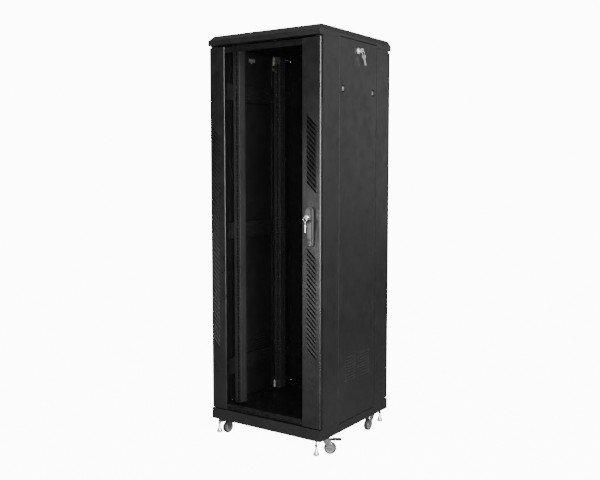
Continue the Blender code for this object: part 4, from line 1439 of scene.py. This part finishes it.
@dataclass
class LevellingFoot:
    """A levelling foot: a bell on a threaded stud, with a hexagonal jam nut."""

    name: str
    side: int
    along: float
    across: float = 0.270
    floor: float = 0.018
    top: float = 0.1148
    pitch: float = 0.00125
    stud_start: float = 0.0300
    stud_radii: tuple[float, float] = (0.0034, 0.0040)
    nut: tuple[float, float] = (0.0402, 0.0458)
    nut_radius: float = 0.0078

    def build(self, shop: Workshop) -> None:
        """Builds bell, stud and nut as one piece each.

        Args:
            shop: makes the pieces and coats the nodes.
        """
        centre = (self.side * self.across, self.along)
        bell = [(self.floor + rise, radius) for rise, radius in
                ((0.0, 0.0001), (0.0, 0.0105), (0.0012, 0.0126), (0.0035, 0.0137), (0.0070, 0.0138),
                 (0.0086, 0.0128), (0.0110, 0.0112), (0.0160, 0.0092), (0.0220, 0.0072), (0.0280, 0.0054),
                 (0.0315, 0.0046), (0.0330, 0.0001))]
        turns = np.arange(self.floor + self.stud_start, self.top, self.pitch / 2)
        ridges = np.where(np.arange(len(turns)) % 2 == 0, *self.stud_radii)
        stud = [(turns[0], 0.0001), *zip(turns, ridges), (turns[-1], 0.0001)]
        corners_at = np.arange(6) * (np.pi / 3)
        hexagon = self.nut_radius * np.stack([np.cos(corners_at), np.sin(corners_at)], axis=1) + centre
        nut = prism(hexagon, "Z", *(self.floor + place for place in self.nut))
        body = f"foot_{self.name}"
        for name, surface, finish, edge in (("bell", turned(bell, "Z", centre, 28), Finish.CHROME, 0.0),
                                            ("stud", turned(stud, "Z", centre, 14), Finish.ZINC, 0.0),
                                            ("nut", nut, Finish.ZINC, 0.0006)):
            shop.piece(f"foot_{name}_{self.name}", surface, body, finish, edge=edge,
                       replaces=[f"levelling_foot_{self.name}"])


# ---- rear door ------------------------------------------------------------------------------

@dataclass
class RearDoor:
    """The solid rear door: a folded sheet with two blocks of louvres and a quarter-turn lock."""

    face: float = 0.300
    fold: float = 0.0022
    reach: float = 0.0115
    lock: tuple[float, float] = (0.245, 1.054)
    louvre_blocks: tuple[tuple[float, float], ...] = ((-0.150, -0.020), (0.020, 0.150))
    louvre_tops: tuple[tuple[float, float], ...] = ((0.270, 0.420), (1.480, 1.630))
    louvre_rows: int = 9
    wall: float = 0.0012

    def build(self, shop: Workshop) -> None:
        """Builds the skin, and dresses the lock and the hinge pins.

        Args:
            shop: makes the pieces and coats the nodes.
        """
        low, high = (np.array(corner) - CABINET_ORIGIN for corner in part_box("rear_door"))
        louvres = [Louvre((start + end) / 2, top, (end - start) / 2, 0.0085, 0.0042)
                   for first, last in self.louvre_tops for top in np.linspace(first, last, self.louvre_rows)
                   for start, end in self.louvre_blocks]
        hole = PunchedHole(-self.lock[0], self.lock[1], 0.0100, 0.0100)
        sheet = PressedSheet([-high[0] + self.fold, -low[0] - self.fold],
                             [low[2] + self.fold, 0.9, 1.3, high[2] - self.fold], louvres + [hole])
        across, up, depth = sheet.fold(self.fold, self.reach)
        table = np.stack([-across, self.face + depth, up], axis=-1)
        # The door's inner face wears the painted-light copy of the black coat.
        shop.piece("rear_door_skin", grid(table, sheet.keep), Body.REAR_DOOR, Finish.POWDER, closed=False,
                   wall=self.wall, lining=Finish.INSIDE_PAINTED_LIGHT, smooth=40, replaces=["rear_door"])
        shop.paint.coat_node("rear_door_lock", Finish.ZINC, 0.0005)
        for end in ("top", "bottom"):
            shop.paint.coat_node(f"rear_hinge_pin_{end}", Finish.ZINC, 0.0003)


# ---- roof vents -----------------------------------------------------------------------------

@dataclass
class RoofVents:
    """Two vent plates on the roof, each with a block of louvres."""

    top: float = 1.837
    inner: float = 0.030
    outer: float = 0.210
    front: float = -0.200
    back: float = 0.030
    rows: int = 10
    lift: float = 0.0014
    fold: float = 0.0008
    reach: float = 0.0011
    wall: float = 0.0007
    screw_inset: float = 0.010

    def build(self, shop: Workshop) -> None:
        """Builds each plate with its screws.

        Args:
            shop: makes the pieces and coats the nodes.
        """
        tops = np.linspace(self.front + 0.035, self.back - 0.016, self.rows)
        height = self.top + self.lift
        head = [(height + rise, radius) for rise, radius in
                ((0.0, 0.0001), (0.0, 0.0040), (0.0009, 0.0037), (0.0018, 0.0022), (0.0019, 0.0001))]
        inset = self.screw_inset
        for side in SIDES:
            start, end = sorted((side * self.inner, side * self.outer))
            louvres = [Louvre((start + end) / 2, float(top), 0.070, 0.0085, 0.0036) for top in tops]
            sheet = PressedSheet([start + self.fold, end - self.fold],
                                 [self.front + self.fold, self.back - self.fold], louvres)
            across, up, depth = sheet.fold(self.fold, self.reach)
            table = np.stack([across, up, height + depth], axis=-1)
            name = SIDE_NAMES[side]
            # The plates' undersides wear painted shade, so that the louvre openings look dark.
            shop.piece(f"roof_vent_plate_{name}", grid(table, sheet.keep), Body.ROOT, Finish.POWDER,
                       closed=False, wall=self.wall, lining=Finish.PAINTED_SHADE, smooth=40)
            screws = joined(turned(head, "Z", (place, along), 14) for place in (start + inset, end - inset)
                            for along in (self.front + inset, self.back - inset))
            shop.piece(f"roof_vent_screws_{name}", screws, Body.ROOT, Finish.ZINC)


def assemblies() -> list:
    """Every sub-assembly, in building order.

    Returns:
        Objects that each have a build method.
    """
    casters = [Caster(f"{end}_{SIDE_NAMES[side]}", (side * 0.264, along), end == "front")
               for end, along in (("front", -0.200), ("rear", 0.204)) for side in SIDES]
    feet = [LevellingFoot(f"{end}_{SIDE_NAMES[side]}", side, along)
            for end, along in (("front", -0.2795), ("rear", 0.2835)) for side in SIDES]
    panels = [SidePanel(side) for side in SIDES]
    return [Frame(), RoofVents(), FrontDoor(), SwingHandle(), *panels, RearDoor(), *casters, *feet]


# ---- studio ---------------------------------------------------------------------------------

@dataclass(frozen=True)
class Lamp:
    """A soft rectangular lamp: where it stands, what it faces, its width and height, and its watts."""

    name: str
    place: tuple[float, float, float]
    aim: tuple[float, float, float]
    size: tuple[float, float]
    power: float

    def build(self) -> None:
        """Hangs the lamp."""
        data = bpy.data.lights.new(self.name, "AREA")
        data.shape = "RECTANGLE"
        data.size, data.size_y = self.size
        data.energy = self.power
        lamp = bpy.data.objects.new(self.name, data)
        lamp.location = self.place
        lamp.rotation_euler = (Vector(self.aim) - Vector(self.place)).to_track_quat("-Z", "Y").to_euler()
        bpy.context.scene.collection.objects.link(lamp)


@dataclass
class Studio:
    """A pale floor, soft lamps, a bright surround and the camera."""

    target: tuple[float, float, float] = (-0.010, 0.010, 0.938)
    azimuth: float = 34.476
    elevation: float = 4.768
    distance: float = 3.679
    lens: float = 47.2
    shift: tuple[float, float] = (-0.002, -0.0095)
    front: float = 0.10
    back: float = 0.90
    overhead: float = 0.35
    white: float = 12.0
    half_floor: float = 14.0
    lamps: ClassVar[tuple[Lamp, ...]] = (
        Lamp("right_lamp", (2.75, -1.85, 1.45), (0.0, 0.0, 0.9), (0.55, 2.6), 160.0),
        Lamp("top_lamp", (0.2, -2.0, 4.0), (0.0, -0.4, 0.0), (2.6, 2.2), 60.0),
        Lamp("inside_lamp", (2.5, -3.3, 1.25), (-0.2, 0.1, 0.9), (0.8, 1.8), 88.0),
        Lamp("left_lamp", (-1.16, -2.94, 0.70), (0.25, -0.3, 0.70), (0.5, 1.4), 16.0),
        Lamp("rear_lamp", (-1.8, 3.2, 2.3), (0.0, 0.3, 0.9), (1.4, 1.8), 60.0))

    def build(self) -> None:
        """Builds the whole studio."""
        self.build_floor()
        self.build_surround()
        for lamp in self.lamps:
            lamp.build()
        self.build_camera()

    def build_floor(self) -> None:
        """A wide pale floor, which the lens sees as plain white."""
        mesh = bpy.data.meshes.new("studio_floor")
        half = self.half_floor
        mesh.from_pydata([(-half, -half, 0), (half, -half, 0), (half, half, 0), (-half, half, 0)], [],
                         [(0, 1, 2, 3)])
        floor = bpy.data.objects.new("studio_floor", mesh)
        bpy.context.scene.collection.objects.link(floor)
        shader = Shader("studio_floor")
        shader.set(Base_Color=(0.30, 0.30, 0.30, 1.0), Roughness=0.9, Specular_IOR_Level=0.1,
                   Emission_Color=(1.0, 1.0, 1.0, 1.0),
                   Emission_Strength=shader.seen_directly() * self.white)
        mesh.materials.append(shader.material)

    def build_surround(self) -> None:
        """A surround that is lit behind the cabinet, and dim in front of it and overhead.

        Its strength goes from front to back along Y, times a fade from 1 to overhead along Z. What
        the lens sees of it directly is plain white.
        """
        world = bpy.data.worlds.new("studio_surround")
        bpy.context.scene.world = world
        world.use_nodes = True
        sky = Nodes(world.node_tree)
        direction = sky.add("ShaderNodeTexCoord", output="Generated")
        along = sky.add("ShaderNodeSeparateXYZ", None, {0: direction}, "Y")
        upwards = sky.add("ShaderNodeSeparateXYZ", None, {0: direction}, "Z")
        lit = (sky.spread(along, -0.5, 0.6, self.front, self.back)
               * sky.spread(upwards, 0.10, 0.45, 1.0, self.overhead))
        strength = sky.add("ShaderNodeMix", None, {"Factor": sky.seen_directly(), "A": lit, "B": self.white})
        background = world.node_tree.nodes["Background"]
        sky.feed(background.inputs["Strength"], strength)
        sky.feed(background.inputs["Color"], (1.0, 1.0, 1.0, 1.0))

    def build_camera(self) -> None:
        """Looks at the cabinet from the front right, a little below its roof."""
        across = math.radians(self.azimuth)
        rise = math.radians(self.elevation)
        away = Vector((math.sin(across) * math.cos(rise), -math.cos(across) * math.cos(rise), math.sin(rise)))
        data = bpy.data.cameras.new("studio_camera")
        data.lens = self.lens
        data.sensor_width = 36.0
        data.shift_x, data.shift_y = self.shift
        camera = bpy.data.objects.new("studio_camera", data)
        camera.location = Vector(self.target) + away * self.distance
        camera.rotation_euler = (-away).to_track_quat("-Z", "Y").to_euler()
        bpy.context.scene.collection.objects.link(camera)
        bpy.context.scene.camera = camera


def main() -> None:
    """Builds every sub-assembly, then the studio."""
    logging.basicConfig(level=logging.INFO, format="%(message)s")
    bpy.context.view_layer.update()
    shop = Workshop()
    Studio().build()
    for assembly in assemblies():
        assembly.build(shop)


if __name__ == "__main__":
    main()
